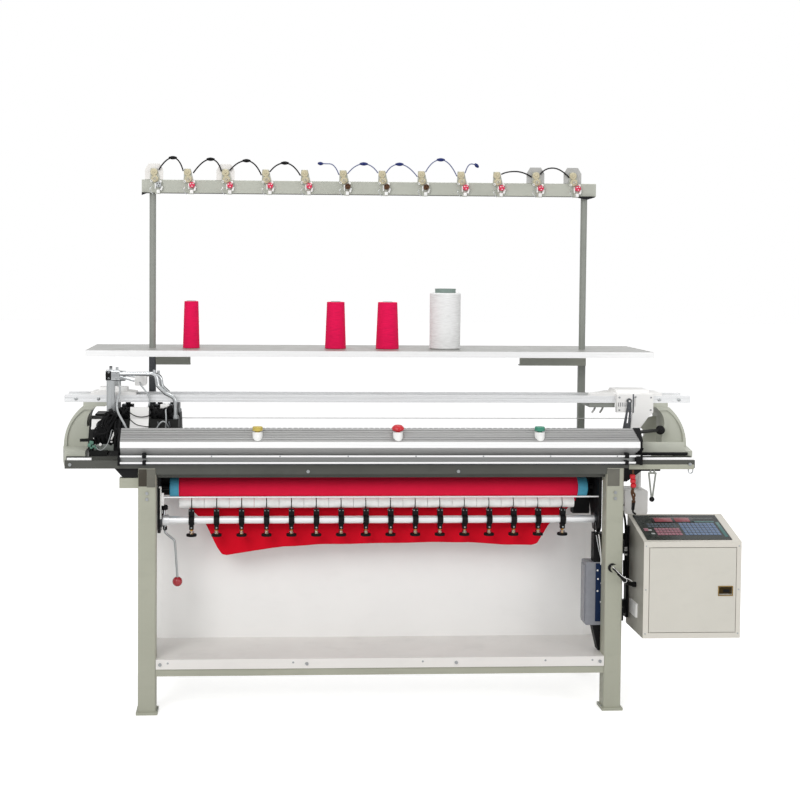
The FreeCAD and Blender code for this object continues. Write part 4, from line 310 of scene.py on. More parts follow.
@dataclass(frozen=True)
class WoundYarn(Finish):
    """Wound yarn: fine strands round the package, slightly fuzzy."""

    pitch: float = 0.9

    def build(self) -> bpy.types.Material:
        """Make the wound yarn.

        Returns:
            The new material.
        """
        g = Graph(self.name)
        base = shade(self.colour)
        rise = 1000 / self.pitch
        strands = g.noise((40, 40, rise), 3.0)
        # Darker where the strands lie low in the relief: painted shade between strands.
        tone = g.mix(g.spread(strands, 0.0, 1.0), tinted(base, 0.80), tinted(base, 1.12))
        fuzz = g.noise((900, 900, 900), 2.0)
        g.relief(g.sums("ADD", strands, g.sums("MULTIPLY", fuzz, 0.4)), 0.45, 0.0006)
        g.shader.inputs["Sheen Weight"].default_value = 0.04
        g.shader.inputs["Specular IOR Level"].default_value = 0.12
        g.shader.inputs["Sheen Roughness"].default_value = 0.5
        return g.finish(Base_Color=tone, Roughness=self.rough)


@dataclass(frozen=True)
class Knit(Finish):
    """Plain knitting: wales down the cloth and courses across it."""

    wale: float = 3.2
    course: float = 2.4

    def build(self) -> bpy.types.Material:
        """Make the knitting.

        Returns:
            The new material.
        """
        g = Graph(self.name)
        base = shade(self.colour)
        coords = g.add("TexCoord").outputs["UV"]
        parts = g.add("SeparateXYZ", Vector=coords)
        across = g.sums("SINE", g.sums("MULTIPLY", parts.outputs[0], 2000 * math.pi / self.wale))
        lean = g.sums("MULTIPLY", g.sums("ABSOLUTE", across), 1.6)
        along = g.sums("MULTIPLY", parts.outputs[1], 2000 * math.pi / self.course)
        loops = g.sums("SINE", g.sums("ADD", along, lean))
        height = g.sums("ADD", g.sums("MULTIPLY", g.sums("ABSOLUTE", across), 0.7), g.sums("MULTIPLY", loops, 0.35))
        stripe = g.noise((26, 2, 2), 3.0)
        # Darker where the stitches lie low: painted shade in the hollows between loops.
        tone = g.mix(g.spread(height, 0.0, 1.0, -0.3, 1.0), tinted(base, 0.70), tinted(base, 1.10))
        tone = g.mix(g.spread(stripe, 0.0, 0.35), tone, tinted(base, 0.82))
        g.relief(height, 0.6, 0.0007)
        g.shader.inputs["Sheen Weight"].default_value = 0.02
        g.shader.inputs["Specular IOR Level"].default_value = 0.10
        g.shader.inputs["Sheen Roughness"].default_value = 0.5
        return g.finish(Base_Color=tone, Roughness=self.rough)


STAND_PAINT = Paint("stand_paint", "a8a999", 0.42, 0.04, 0.14, 0.10)
# Darker paint of the base beams; its darkness is partly painted shade under the tray.
SHADED_BEAM_PAINT = Paint("shaded_beam_paint", "4f504b", 0.42, 0.10, 0.14, 0.25, 0.3)
# Dark brown paint of the left leg's top plate, partly painted shade and reflection.
DARK_PLATE = Paint("dark_plate", "3c372d", 0.42, 0.10, 0.14, 0.25, 0.3)
GREY_PLATE = Paint("grey_plate", "6a6960", 0.42, 0.10, 0.14, 0.25, 0.3)
CASTING_PAINT = Paint("casting_paint", "bcbeb1", 0.40, 0.05, 0.30, 0.12)
PANEL_PAINT = Paint("panel_paint", "f5f4f2", 0.50, 0.015, 0.08, 0.03)
SHELF_PAINT = Paint("shelf_paint", "ebe9e5", 0.45, 0.04, 0.10, 0.12)
LIP_PAINT = Paint("shelf_lip", "e8e5e1", 0.42, 0.02, 0.10, 0.05)
YARN_SHELF_PAINT = Paint("yarn_shelf", "989894", 0.40, 0.04, 0.10, 0.05)
BAR_PAINT = Paint("bar_paint", "b4b6ab", 0.42, 0.05, 0.15, 0.12)
CREAM_PAINT = Paint("cream_paint", "d8d4ca", 0.42, 0.02, 0.16, 0.04)
# Darker copy of the box's cream paint for its left side: painted shade.
SHADED_BOX_SIDE = Paint("shaded_box_side", "a3a198", 0.45, 0.04, 0.16, 0.10, 0.3)
DOOR_PAINT = Paint("door_paint", "d2cfc5", 0.42, 0.02, 0.16, 0.05)
CAM_PAINT = Paint("cam_paint", "161716", 0.50, 0.10, 0.25, 0.10, 0.12)
CAM_PLATE_PAINT = Paint("cam_plate", "7c817b", 0.45, 0.12, 0.25, 0.35)
BLACK_PAINT = Paint("black_paint", "161617", 0.42, 0.12, 0.20, 0.0, 0.15)
GREY_PAINT = Paint("grey_paint", "8d9089", 0.42, 0.06, 0.15, 0.15)
COVER_METAL = Metal("cover_metal", "969695", 0.45, Axis.X, 0.35, 0.12, 0.3)
# Near-white metal that paints highlights: the cover's nose band, the tray's lips, the beam's top edges and the yarn
# shelf's front lip.
HIGHLIGHT_METAL = Metal("highlight_metal", "fafafa", 0.30, Axis.X, 0.12, 0.02, 0.15)
# Lighter copy of the cover's metal for the downward faces of its foot: painted light.
LIT_COVER_FOOT = Metal("lit_cover_foot", "bdbdbc", 0.45, Axis.X, 0.30, 0.10, 0.3)
LIP_METAL = Metal("tray_metal", "9fa09f", 0.34, Axis.X, 0.20, 0.08, 0.6)
RAIL_METAL = Metal("rail_metal", "f0f1f2", 0.30, Axis.X, 0.15, 0.04, 0.5)
BED_METAL = Metal("bed_metal", "8f9394", 0.30, Axis.X, 0.20, 0.12)
NEEDLE_METAL = Metal("needle_metal", "c3c5c6", 0.20, Axis.Y, 0.10, 0.08)
BRIGHT_METAL = Metal("bright_metal", "cdd0d2", 0.16, Axis.X, 0.12, 0.10)
DARK_METAL = Metal("dark_metal", "5b5d60", 0.32, Axis.Z, 0.20, 0.20)
UPRIGHT_METAL = Metal("upright_metal", "b9bcbd", 0.26, Axis.Z, 0.15, 0.12)
BOLT_METAL = Metal("bolt_metal", "a9acad", 0.28, Axis.Z, 0.15, 0.15)
BRASS = Metal("brass", "b98d45", 0.28, Axis.Z, 0.12, 0.15)
GOLD_METAL = Metal("latch_metal", "8f7440", 0.30, Axis.X, 0.12, 0.12)
LATCH_METAL = Metal("dark_latch", "3a2f1c", 0.38, Axis.X, 0.12, 0.12)
BLACK_PLASTIC = Plastic("black_plastic", "131314", 0.46, 0.15, 0.12)
GLOSS_BLACK = Plastic("gloss_black", "121214", 0.26, 0.04, 0.30)
BLACK_RUBBER = Plastic("black_rubber", "161617", 0.62, 0.30, 0.12)
BLUE_RUBBER = Plastic("blue_rubber", "55aecd", 0.55, 0.30, 0.3)
WHITE_PLASTIC = Plastic("white_plastic", "f6f6f4", 0.36, 0.08, 0.5)
CREAM_PLASTIC = Plastic("cream_plastic", "c9c0a2", 0.40, 0.12, 0.4)
GREY_PLASTIC = Plastic("grey_plastic", "b2b5b6", 0.40, 0.12, 0.4)
BLUE_GREY = Plastic("junction_plastic", "86888f", 0.34, 0.08, 0.5)
NAVY_PLASTIC = Plastic("navy_plastic", "132544", 0.42, 0.08, 0.12)
BLUE_PLASTIC = Plastic("blue_plastic", "182765", 0.34, 0.08, 0.25)
PALE_BLUE = Plastic("pale_blue_plastic", "676f92", 0.36, 0.08, 0.3)
YELLOW_PLASTIC = Plastic("yellow_plastic", "c9b458", 0.30, 0.06, 0.5)
RED_PLASTIC = Plastic("red_plastic", "c81f2c", 0.28, 0.06, 0.5)
PINK_PLASTIC = Plastic("setting_knob", "d8204f", 0.30, 0.06, 0.5)
GREEN_PLASTIC = Plastic("green_plastic", "3b8a72", 0.30, 0.06, 0.5)
BALL_PLASTIC = Plastic("ball_plastic", "a92a33", 0.22, 0.05, 0.6)
TEAL_PLASTIC = Plastic("teal_plastic", "83948d", 0.40, 0.10, 0.4)
TEAL_CLIP = Plastic("teal_clip", "5c8776", 0.40, 0.10, 0.4)
CLEAR_PLASTIC = Plastic("smoke_plastic", "b4b4b1", 0.30, 0.05, 0.5)
KEY_SHEET = Plastic("key_sheet", "212725", 0.26, 0.05, 0.3)
KEY_RED = Plastic("red_key", "a06b78", 0.35, 0.05, 0.3)
KEY_BLUE = Plastic("blue_key", "6b80a0", 0.35, 0.05, 0.3)
KEY_SLATE = Plastic("slate_key", "525c68", 0.35, 0.05, 0.3)
KEY_TEAL = Plastic("teal_strip", "2f6663", 0.30, 0.05, 0.5)
KEY_WHITE = Plastic("white_key", "b9bcbc", 0.35, 0.05, 0.5)
DISPLAY_RED = Plastic("display", "97434e", 0.30, 0.05, 0.5)
BROWN_RUBBER = Plastic("brown_rubber", "573a26", 0.55, 0.20, 0.2)
RED_YARN = WoundYarn("red_yarn", "ee1456", 0.75)
WHITE_YARN = WoundYarn("white_yarn", "fbfbfa", 0.75, 1.1)
RED_KNIT = Knit("red_knit", "e00a26", 0.80)
# Brighter copy of the knit for the cloth on the roller: painted light against the shade there.
LIT_ROLLER_KNIT = Knit("lit_roller_knit", "fb2048", 0.75)


def dress(finish: Finish, *nodes: str) -> None:
    """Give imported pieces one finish.

    Args:
        finish: The finish.
        nodes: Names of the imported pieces.
    """
    for node in nodes:
        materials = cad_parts[node].data.materials
        materials.clear()
        materials.append(finish.material())


def dress_faces(node: str, base: Finish, rules: Sequence[tuple[Finish, Callable[[Vector, Vector], bool]]]) -> None:
    """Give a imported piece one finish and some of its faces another.

    Args:
        node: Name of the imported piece.
        base: Finish of every face that no rule picks.
        rules: Finishes with a test on a face's middle and normal, both in machine millimetres.
    """
    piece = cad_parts[node]
    mesh = piece.data
    mesh.materials.clear()
    for finish in [base] + [rule[0] for rule in rules]:
        mesh.materials.append(finish.material())
    for polygon in mesh.polygons:
        middle = (polygon.center - ORIGIN) * 1000
        polygon.material_index = 0
        for number, (_, test) in enumerate(rules, 1):
            if test(middle, polygon.normal):
                polygon.material_index = number


# ---- making pieces ------------------------------------------------------------------------------
def put(name: str, data: bpy.types.ID) -> bpy.types.Object:
    """Put a mesh, curve, lamp or camera in the scene.

    Args:
        name: Name of the object.
        data: What it holds.

    Returns:
        The new object.
    """
    piece = bpy.data.objects.new(name, data)
    bpy.context.scene.collection.objects.link(piece)
    return piece


def aimed(place: Vector, way: Vector) -> Matrix:
    """Axis that points one way from a place in the row frame."""
    return Matrix.Translation(place) @ way.to_track_quat("Z", "Y").to_matrix().to_4x4()


def round_point(radius: float, angle: float, height: float = 0.0) -> Vector:
    """Point of a ring about an axis, from millimetres to metres."""
    return Vector((radius * math.cos(angle), radius * math.sin(angle), height)) / 1000


def piece_of(name: str, mesh: bpy.types.Mesh, finish: Finish, body: Body, smooth: float = 40.0) -> bpy.types.Object:
    """Put a mesh in the scene as a piece.

    Args:
        name: The piece's name.
        mesh: Its mesh, in the row frame.
        finish: Its finish.
        body: The body that it rides on.
        smooth: Edges sharper than this many degrees stay crisp.

    Returns:
        The new object.
    """
    mesh.name = name
    piece = put(name, mesh)
    mesh.materials.append(finish.material())
    for polygon in mesh.polygons:
        polygon.use_smooth = True
    mesh.set_sharp_from_angle(angle=math.radians(smooth))
    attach(piece, body.value)
    LOG.info("made %s, %d faces", name, len(mesh.polygons))
    return piece


class Shaper:
    """Collects simple solids of one piece into one mesh."""

    def __init__(self) -> None:
        """Start with an empty mesh."""
        self.mesh = bmesh.new()

    def bar(self, start: Place, end: Place, radius: float, top: Optional[float] = None, sides: int = 20,
            edge: float = 0.0) -> "Shaper":
        """Round bar or cone from one place to another.

        Args:
            start: Middle of the first end, in machine millimetres.
            end: Middle of the other end.
            radius: Radius at the start.
            top: Radius at the end, if another.
            sides: Facets round the bar.
            edge: Width of the bevel at both ends.

        Returns:
            This shaper.
        """
        top = radius if top is None else top
        a, b = spot(*start), spot(*end)
        length = (b - a).length * 1000
        profile = [(radius, 0.0), (top, length)]
        if edge:
            profile = [(max(radius - edge, 0.05), 0.0), (radius, edge), (top, length - edge),
                       (max(top - edge, 0.05), length)]
        return self.turned(profile, aimed(a, b - a), sides)

    def turned(self, profile: Sequence[Pair], place: Matrix, sides: int = 32, closed: bool = False) -> "Shaper":
        """Turned shape.

        Args:
            profile: Radius and height of each ring, in millimetres.
            place: Where the axis stands, in the row frame.
            sides: Facets round the axis.
            closed: Join the last ring to the first, for a ring with a bore.

        Returns:
            This shaper.
        """
        rings = [[self.mesh.verts.new(place @ round_point(radius, 2 * math.pi * i / sides, height))
                  for i in range(sides)] for radius, height in profile]
        return self.skin(rings, closed)

    def skin(self, rings: Sequence[Sequence[bmesh.types.BMVert]], closed: bool = False) -> "Shaper":
        """Join rings of points with faces.

        Args:
            rings: The rings, all with the same number of points.
            closed: Join the last ring to the first, in place of filling both ends.

        Returns:
            This shaper.
        """
        for low, high in zip(rings, [*rings[1:], rings[0]] if closed else rings[1:]):
            for i in range(len(low)):
                j = (i + 1) % len(low)
                self.mesh.faces.new((low[i], low[j], high[j], high[i]))
        if not closed:
            self.mesh.faces.new(rings[0][::-1])
            self.mesh.faces.new(rings[-1])
        return self

    def prism(self, low: Sequence[Vector], high: Sequence[Vector]) -> list[bmesh.types.BMFace]:
        """Solid between two outlines with the same number of points.

        Args:
            low: Points of the first outline, in the row frame.
            high: Points of the other.

        Returns:
            The faces at its two ends.
        """
        bottom, top = ([self.mesh.verts.new(point) for point in outline] for outline in (low, high))
        ends = [self.mesh.faces.new(bottom), self.mesh.faces.new(top[::-1])]
        for i in range(len(bottom)):
            j = (i + 1) % len(bottom)
            self.mesh.faces.new((bottom[j], bottom[i], top[i], top[j]))
        return ends

    def bevel(self, edges: Iterable[bmesh.types.BMEdge], width: float) -> None:
        """Round some edges off by a width in millimetres."""
        bmesh.ops.bevel(self.mesh, geom=list(edges), offset=width / 1000, segments=2, profile=0.5, affect="EDGES")

    def block(self, low: Place, high: Place, edge: float = 0.0, turn: float = 0.0, about: Axis = Axis.Y) -> "Shaper":
        """Square block with bevelled edges, turned about its middle.

        Args:
            low: Lowest corner, in machine millimetres.
            high: Highest corner.
            edge: Width of the bevel.
            turn: Degrees of turn.
            about: Axis of the turn.

        Returns:
            This shaper.
        """
        middle = [(a + b) / 2 for a, b in zip(low, high)]
        size = [b - a for a, b in zip(low, high)]
        place = Matrix.Translation(spot(*middle)) @ Matrix.Rotation(math.radians(turn), 4, about.value)
        return self.placed(place, size, edge)

    def placed(self, place: Matrix, size: Sequence[float], edge: float = 0.0) -> "Shaper":
        """Square block about a place in the row frame.

        Args:
            place: Its middle and turn.
            size: Its three sizes, in millimetres.
            edge: Width of the bevel.

        Returns:
            This shaper.
        """
        place = place @ Matrix.Diagonal((size[0] / 1000, size[1] / 1000, size[2] / 1000, 1.0))
        made = bmesh.ops.create_cube(self.mesh, size=1.0, matrix=place)
        if edge:
            self.bevel({e for v in made["verts"] for e in v.link_edges}, edge)
        return self

    def sheet(self, outline: Sequence[Pair], axis: Axis, low: float, high: float, edge: float = 0.0) -> "Shaper":
        """Flat plate cut to an outline.

        Args:
            outline: Points in the two other axes, in order X, Y, Z, in machine millimetres.
            axis: Axis that the plate is thick along.
            low: Where its thickness starts.
            high: Where it ends.
            edge: Width of the bevel.

        Returns:
            This shaper.
        """
        def place(point: Pair, level: float) -> Vector:
            """Point of the outline at one level.

            Args:
                point: The point.
                level: Where it lies along the plate's thickness.

            Returns:
                The place in the row frame.
            """
            u, v = point
            by_axis = {Axis.X: (level, u, v), Axis.Y: (u, level, v), Axis.Z: (u, v, level)}
            return spot(*by_axis[axis])
        ends = self.prism([place(p, low) for p in outline], [place(p, high) for p in outline])
        if edge:
            self.bevel({e for f in ends for e in f.edges}, edge)
        return self

    def spring(self, start: Place, end: Place, radius: float, wire: float, turns: float, steps: int = 14,
               sides: int = 6) -> "Shaper":
        """Wire wound into a spring between two places.

        Args:
            start: Where the spring starts, in machine millimetres.
            end: Where it ends.
            radius: Radius of the coil.
            wire: Radius of the wire.
            turns: Number of turns.
            steps: Steps in a turn.
            sides: Facets round the wire.

        Returns:
            This shaper.
        """
        a, b = spot(*start), spot(*end)
        turn = (b - a).to_track_quat("Z", "Y").to_matrix()
        count = int(turns * steps)
        line = []
        for i in range(count + 1):
            line.append(a + (b - a) * i / count + turn @ round_point(radius, 2 * math.pi * i / steps))
        return self.along(line, wire, sides)

    def along(self, line: Sequence[Vector], radius: float, sides: int = 8) -> "Shaper":
        """Wire that follows a line of points.

        Args:
            line: The points, in the row frame.
            radius: Radius of the wire, in millimetres.
            sides: Facets round the wire.

        Returns:
            This shaper.
        """
        rings = []
        for i, point in enumerate(line):
            ahead = line[min(i + 1, len(line) - 1)] - line[max(i - 1, 0)]
            turn = ahead.to_track_quat("Z", "Y").to_matrix()
            rings.append([self.mesh.verts.new(point + turn @ round_point(radius, 2 * math.pi * k / sides))
                          for k in range(sides)])
        return self.skin(rings)

    def done(self, name: str, finish: Finish, body: Body = Body.STAND, smooth: float = 40.0) -> bpy.types.Object:
        """Close the mesh and put the piece in the scene.

        Args:
            name: The piece's name.
            finish: Its finish.
            body: The body that it rides on.
            smooth: Edges sharper than this many degrees stay crisp.

        Returns:
            The new object.
        """
        bmesh.ops.recalc_face_normals(self.mesh, faces=self.mesh.faces[:])
        mesh = bpy.data.meshes.new(name)
        self.mesh.to_mesh(mesh)
        self.mesh.free()
        return piece_of(name, mesh, finish, body, smooth)


def line_of(curve: bpy.types.Object) -> list[Vector]:
    """Points along a curve's own line, without its thickness.

    Args:
        curve: The curve.

    Returns:
        The points, in the row frame.
    """
    depth = curve.data.bevel_depth
    curve.data.bevel_depth = 0.0
    bpy.context.view_layer.update()
    mesh = bpy.data.meshes.new_from_object(curve.evaluated_get(bpy.context.evaluated_depsgraph_get()))
    points = [v.co.copy() for v in mesh.vertices]
    bpy.data.meshes.remove(mesh)
    curve.data.bevel_depth = depth
    return points


@dataclass
class Wire:
    """A cable or lead: the places that it passes, its thickness and how it ends."""

    name: str
    route: Sequence[Place]
    radius: float
    finish: Finish
    body: Body = Body.STAND
    far_end: str = "object"
    stiffness: str = "medium"
    lay: str = "loose"
    stands_for: Optional[str] = None
    declared: bool = True

    def make(self, with_pieces: Iterable[bpy.types.Object] = (),
             along: Optional[Callable[[list[Vector]], list[bpy.types.Object]]] = None) -> bpy.types.Object:
        """Args:
            with_pieces: Separate pieces that sit on the wire; not used.
            along: Makes pieces that follow the wire's own line.

        Returns:
            The curve.
        """
        data = bpy.data.curves.new(self.name, "CURVE")
        data.dimensions = "3D"
        data.resolution_u = 10
        data.bevel_depth = 1.0
        data.bevel_resolution = 3
        data.use_fill_caps = True
        spline = data.splines.new("NURBS")
        spline.points.add(len(self.route) - 1)
        for point, place in zip(spline.points, self.route):
            point.co = (*spot(*place), 1.0)
            point.radius = self.radius / 1000
        spline.order_u = 3
        spline.use_endpoint_u = True
        piece = put(self.name, data)
        data.materials.append(self.finish.material())
        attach(piece, self.body.value)
        if self.stands_for:
            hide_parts(self.stands_for)
        line = line_of(piece)
        if along:
            with_pieces = list(with_pieces) + along(line)
        return piece


def upright(x: float, y: float, z: float) -> Matrix:
    """Axis that stands up at a place on the machine."""
    return Matrix.Translation(spot(x, y, z))


def facing(x: float, y: float, z: float, way: Vector) -> Matrix:
    """Axis that points one way from a place on the machine."""
    return aimed(spot(x, y, z), way)


def head(shaper: Shaper, place: Place, way: Vector, radius: float = 5.0, tall: float = 3.0) -> None:
    """Add a domed screw head with a recess to a piece.

    Args:
        shaper: The piece.
        place: Where the head sits, in machine millimetres.
        way: Which way it faces.
        radius: Radius of the head.
        tall: Height of the head.
    """
    profile = [(radius, 0), (radius, tall * 0.45), (radius * 0.8, tall * 0.85), (radius * 0.5, tall),
               (radius * 0.42, tall), (radius * 0.36, tall * 0.55), (0.05, tall * 0.55)]
    shaper.turned(profile, facing(*place, way), 16)


FRONT, UP, RIGHT = Vector((0, -1, 0)), Vector((0, 0, 1)), Vector((1, 0, 0))
FOOT_WAY = Vector((0, -0.72, -0.69))


# ---- the machine --------------------------------------------------------------------------------
@dataclass
class Stand:
    """Painted stand: legs, beams, lower shelf, back panel, brackets and bolts."""

    foot_screw_x: float = 757.0
    foot_screw_y: Sequence[float] = (18.0, 42.0, 448.0, 472.0)
    foot_top: float = 10.0
    lip_screws: Sequence[float] = (-722.0, -300.0, 140.0, 560.0, 722.0)
    shelf_top: float = 187.0
    lip_front: float = 0.0
    beam_strip: tuple[Place, Place] = ((838.0, -1.0, 829.0), (1062.0, 0.4, 845.5))
    highlight_spans: Sequence[Pair] = ((-1057.0, -976.0), (878.0, 1061.0))
    wing_in: float = 750.0
    wing_out: float = 801.0
    flap_spans: Sequence[Pair] = ((-787.0, -756.0), (756.0, 792.0))
    flap_top: float = 758.0
    top_plates: Sequence[tuple[str, Finish, float, float, float]] = (
        ("left_top_plate", DARK_PLATE, -820.5, -793.0, 773.0), ("left_top_cleat", GREY_PLATE, -792.6, -764.0, 770.0),
        ("right_top_plate", GREY_PLATE, 764.0, 806.0, 772.0))
    plate_top: float = 831.0

    def dress(self) -> None:
        """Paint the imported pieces."""
        dress(STAND_PAINT, "left_leg_frame", "right_leg_frame")
        # The base beams take the darker paint, partly painted shade under the tray.
        dress(SHADED_BEAM_PAINT, "front_base_beam", "rear_base_beam")
        dress_faces("lower_shelf", SHELF_PAINT, [(STAND_PAINT, lambda m, n: m.z < 157),
                                                 (LIP_PAINT, lambda m, n: n.y < -0.9 and m.z >= 157)])
        dress(PANEL_PAINT, "back_panel")
        dress(CASTING_PAINT, "left_end_bracket", "right_end_bracket")
        dress(BLACK_PAINT, "support_brackets")
        dress(BOLT_METAL, "frame_bolts")

    def build(self) -> None:
        """Add screws, painted highlight edges and the thin plates on the beam, the legs, the shelf and the panel."""
        self.screws()
        self.beam_plates()
        self.leg_plates()
        self.shelf_ends()
        self.bracket_foot()

    def screws(self) -> None:
        """Screws of the feet and of the shelf's lip."""
        screws = Shaper()
        for side in (-1, 1):
            for y in self.foot_screw_y:
                head(screws, (side * self.foot_screw_x, y, self.foot_top), UP, 3.4, 2.4)
        for x in self.lip_screws:
            head(screws, (x, self.lip_front, self.shelf_top - 12), FRONT, 3.6, 1.4)
        screws.done("stand_screws", BOLT_METAL)

    def beam_plates(self) -> None:
        """Pale strip on the front beam, and painted highlights along its upper edges."""
        strips, edges = Shaper(), Shaper()
        strips.block(*self.beam_strip, 0.3)
        for low, high in self.highlight_spans:
            # Near-white strips along the beam's top edges: painted highlights.
            edges.block((low, -0.9, 861.5), (high, 0.4, 869.5), 0.3)
        strips.done("beam_strips", STAND_PAINT)
        edges.done("beam_edge_highlights", HIGHLIGHT_METAL)

    def leg_plates(self) -> None:
        """Thin plates on the front of the leg tops; the dark colour of the left one is partly painted shade and
        reflection on the leg's top.
        """
        for name, finish, low, high, foot in self.top_plates:
            plate = Shaper()
            plate.block((low, -1.0, foot), (high, 0.4, self.plate_top), 0.4)
            plate.done(name, finish)

    def shelf_ends(self) -> None:
        """Ends of the lower shelf and of the back panel, which reach the legs."""
        wings, flaps = Shaper(), Shaper()
        for side in (-1, 1):
            low, high = sorted((side * self.wing_in, side * self.wing_out))
            wings.block((low, 62.0, 179.4), (high, 269.0, self.shelf_top - 0.2), 0.2)
        for low, high in self.flap_spans:
            flaps.block((low, 268.4, self.shelf_top), (high, 270, self.flap_top), 0.4)
        wings.done("shelf_wings", SHELF_PAINT)
        flaps.done("panel_flaps", PANEL_PAINT)

    def bracket_foot(self) -> None:
        """Foot plate under the right bracket, with a black strip in front of it that paints the shadow gap under the
        bracket's foot.
        """
        plate, shadow_strip = Shaper(), Shaper()
        plate.sheet([(884, 870), (884, 916), (1040, 916), (1050, 870)], Axis.Y, 45.0, 50.0, 1.0)
        shadow_strip.block((884, 43.4, 870), (1054, 45.2, 881), 0.4)
        plate.done("bracket_foot_plate", CASTING_PAINT)
        shadow_strip.done("bracket_foot_shadow", BLACK_PAINT)


@dataclass
class CoverParts:
    """Front cover, guide tray, end caps and the three buttons."""

    stops: Sequence[float] = (-800.0, 824.0)
    first_screw: float = -805.0
    screw_pitch: float = 228.0
    screw_count: int = 8
    foot_top: Pair = (-18.8, 903.75)
    foot_low: Pair = (2.6, 881.5)
    foot_left: float = -879.0
    foot_right: float = 856.0

    def dress(self) -> None:
        """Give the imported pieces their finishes."""
        # The cover's front nose band takes the near-white highlight metal: a painted highlight.
        dress_faces("front_cover", COVER_METAL, [(HIGHLIGHT_METAL, lambda m, n: n.y < -0.98 and 906 < m.z < 924),
                                                 (LIT_COVER_FOOT, lambda m, n: n.z < -0.3 and m.z < 906)])
        # The tray's front lips take the near-white highlight metal: painted highlights.
        dress_faces("guide_tray", LIP_METAL, [(HIGHLIGHT_METAL, lambda m, n: n.y < -0.9 and m.y < -20),
                                              (DARK_METAL, lambda m, n: n.y < -0.9 and m.z < 852)])
        dress(BLACK_PLASTIC, "cover_end_caps")
        dress(WHITE_PLASTIC, "button_collars")
        dress(YELLOW_PLASTIC, "yellow_button")
        dress(RED_PLASTIC, "red_button")
        dress(GREEN_PLASTIC, "green_button")

    def build(self) -> None:
        """Add the stops on the tray's lips, the band on the cover's foot in the lightened foot metal, and the screws of
        the tray.
        """
        stops, foot, screws = Shaper(), Shaper(), Shaper()
        for x in self.stops:
            stops.block((x - 6, -25, 847), (x + 6, -6, 862), 1.5)
            stops.block((x - 7, -26, 870), (x + 7, -8, 888), 1.5)
        stops.block((855, -25, 849), (873, -6, 877), 2.0)
        self.patch(stops, ((857, 30, 965), (881, 30, 965), (879, -18, 925), (870, -18, 925)), Vector((0, -0.64, 0.77)))
        self.patch(stops, ((876, -20, 905), (881, -20, 905), (878, 4, 880), (857, 4, 880)), FOOT_WAY)
        stops.done("tray_stops", BLACK_RUBBER)
        # The band over the cover's foot takes the lighter foot metal: painted light.
        corners = [(x, *edge) for x, edge in ((self.foot_left, self.foot_top), (self.foot_right, self.foot_top),
                                              (self.foot_right, self.foot_low), (self.foot_left, self.foot_low))]
        self.patch(foot, corners, FOOT_WAY, 0.8)
        foot.done("cover_foot_band", LIT_COVER_FOOT)
        for i in range(self.screw_count):
            head(screws, (self.first_screw + i * self.screw_pitch, -22.0, 877), FRONT, 2.4, 1.2)
        screws.done("tray_screws", BOLT_METAL)

    def patch(self, shaper: Shaper, corners: Sequence[Place], way: Vector, thick: float = 2.6) -> None:
        """Add a thin flat strip that lies on one of the cover's faces.

        Args:
            shaper: The piece.
            corners: Its corners on the face, in machine millimetres.
            way: Which way the face looks.
            thick: Its thickness.
        """
        shaper.prism([spot(*c) + way * 0.0002 for c in corners],
                     [spot(*c) + way * (0.0002 + thick / 1000) for c in corners])


@dataclass
class Rails:
    """Feeder rails with their screws."""

    front_y: float = 180.0
    screw_z: float = 1048.0
    screws: Sequence[float] = (-973.0, -1050.0, 994.0, 1064.0)

    def dress(self) -> None:
        """Give the rails their metal."""
        dress(RAIL_METAL, "front_feeder_rail", "rear_feeder_rail")

    def build(self) -> None:
        """Add the screws in the front rail's face."""
        screws = Shaper()
        for x in self.screws:
            head(screws, (x, self.front_y, self.screw_z), FRONT, 5.6, 2.6)
        screws.done("rail_screws", BOLT_METAL)


@dataclass
class Beds:
    """Needle beds and their needles."""

    def dress(self) -> None:
        """Give the beds and needles their metal."""
        dress(BED_METAL, "front_needle_bed", "rear_needle_bed")
        dress(NEEDLE_METAL, "front_needles", "rear_needles")


@dataclass
class Drive:
    """Drive belt and its pulleys."""

    def dress(self) -> None:
        """Give belt and pulleys their finishes."""
        dress(WHITE_PLASTIC, "drive_belt")
        dress(BOLT_METAL, "drive_pulley", "idler_pulley")


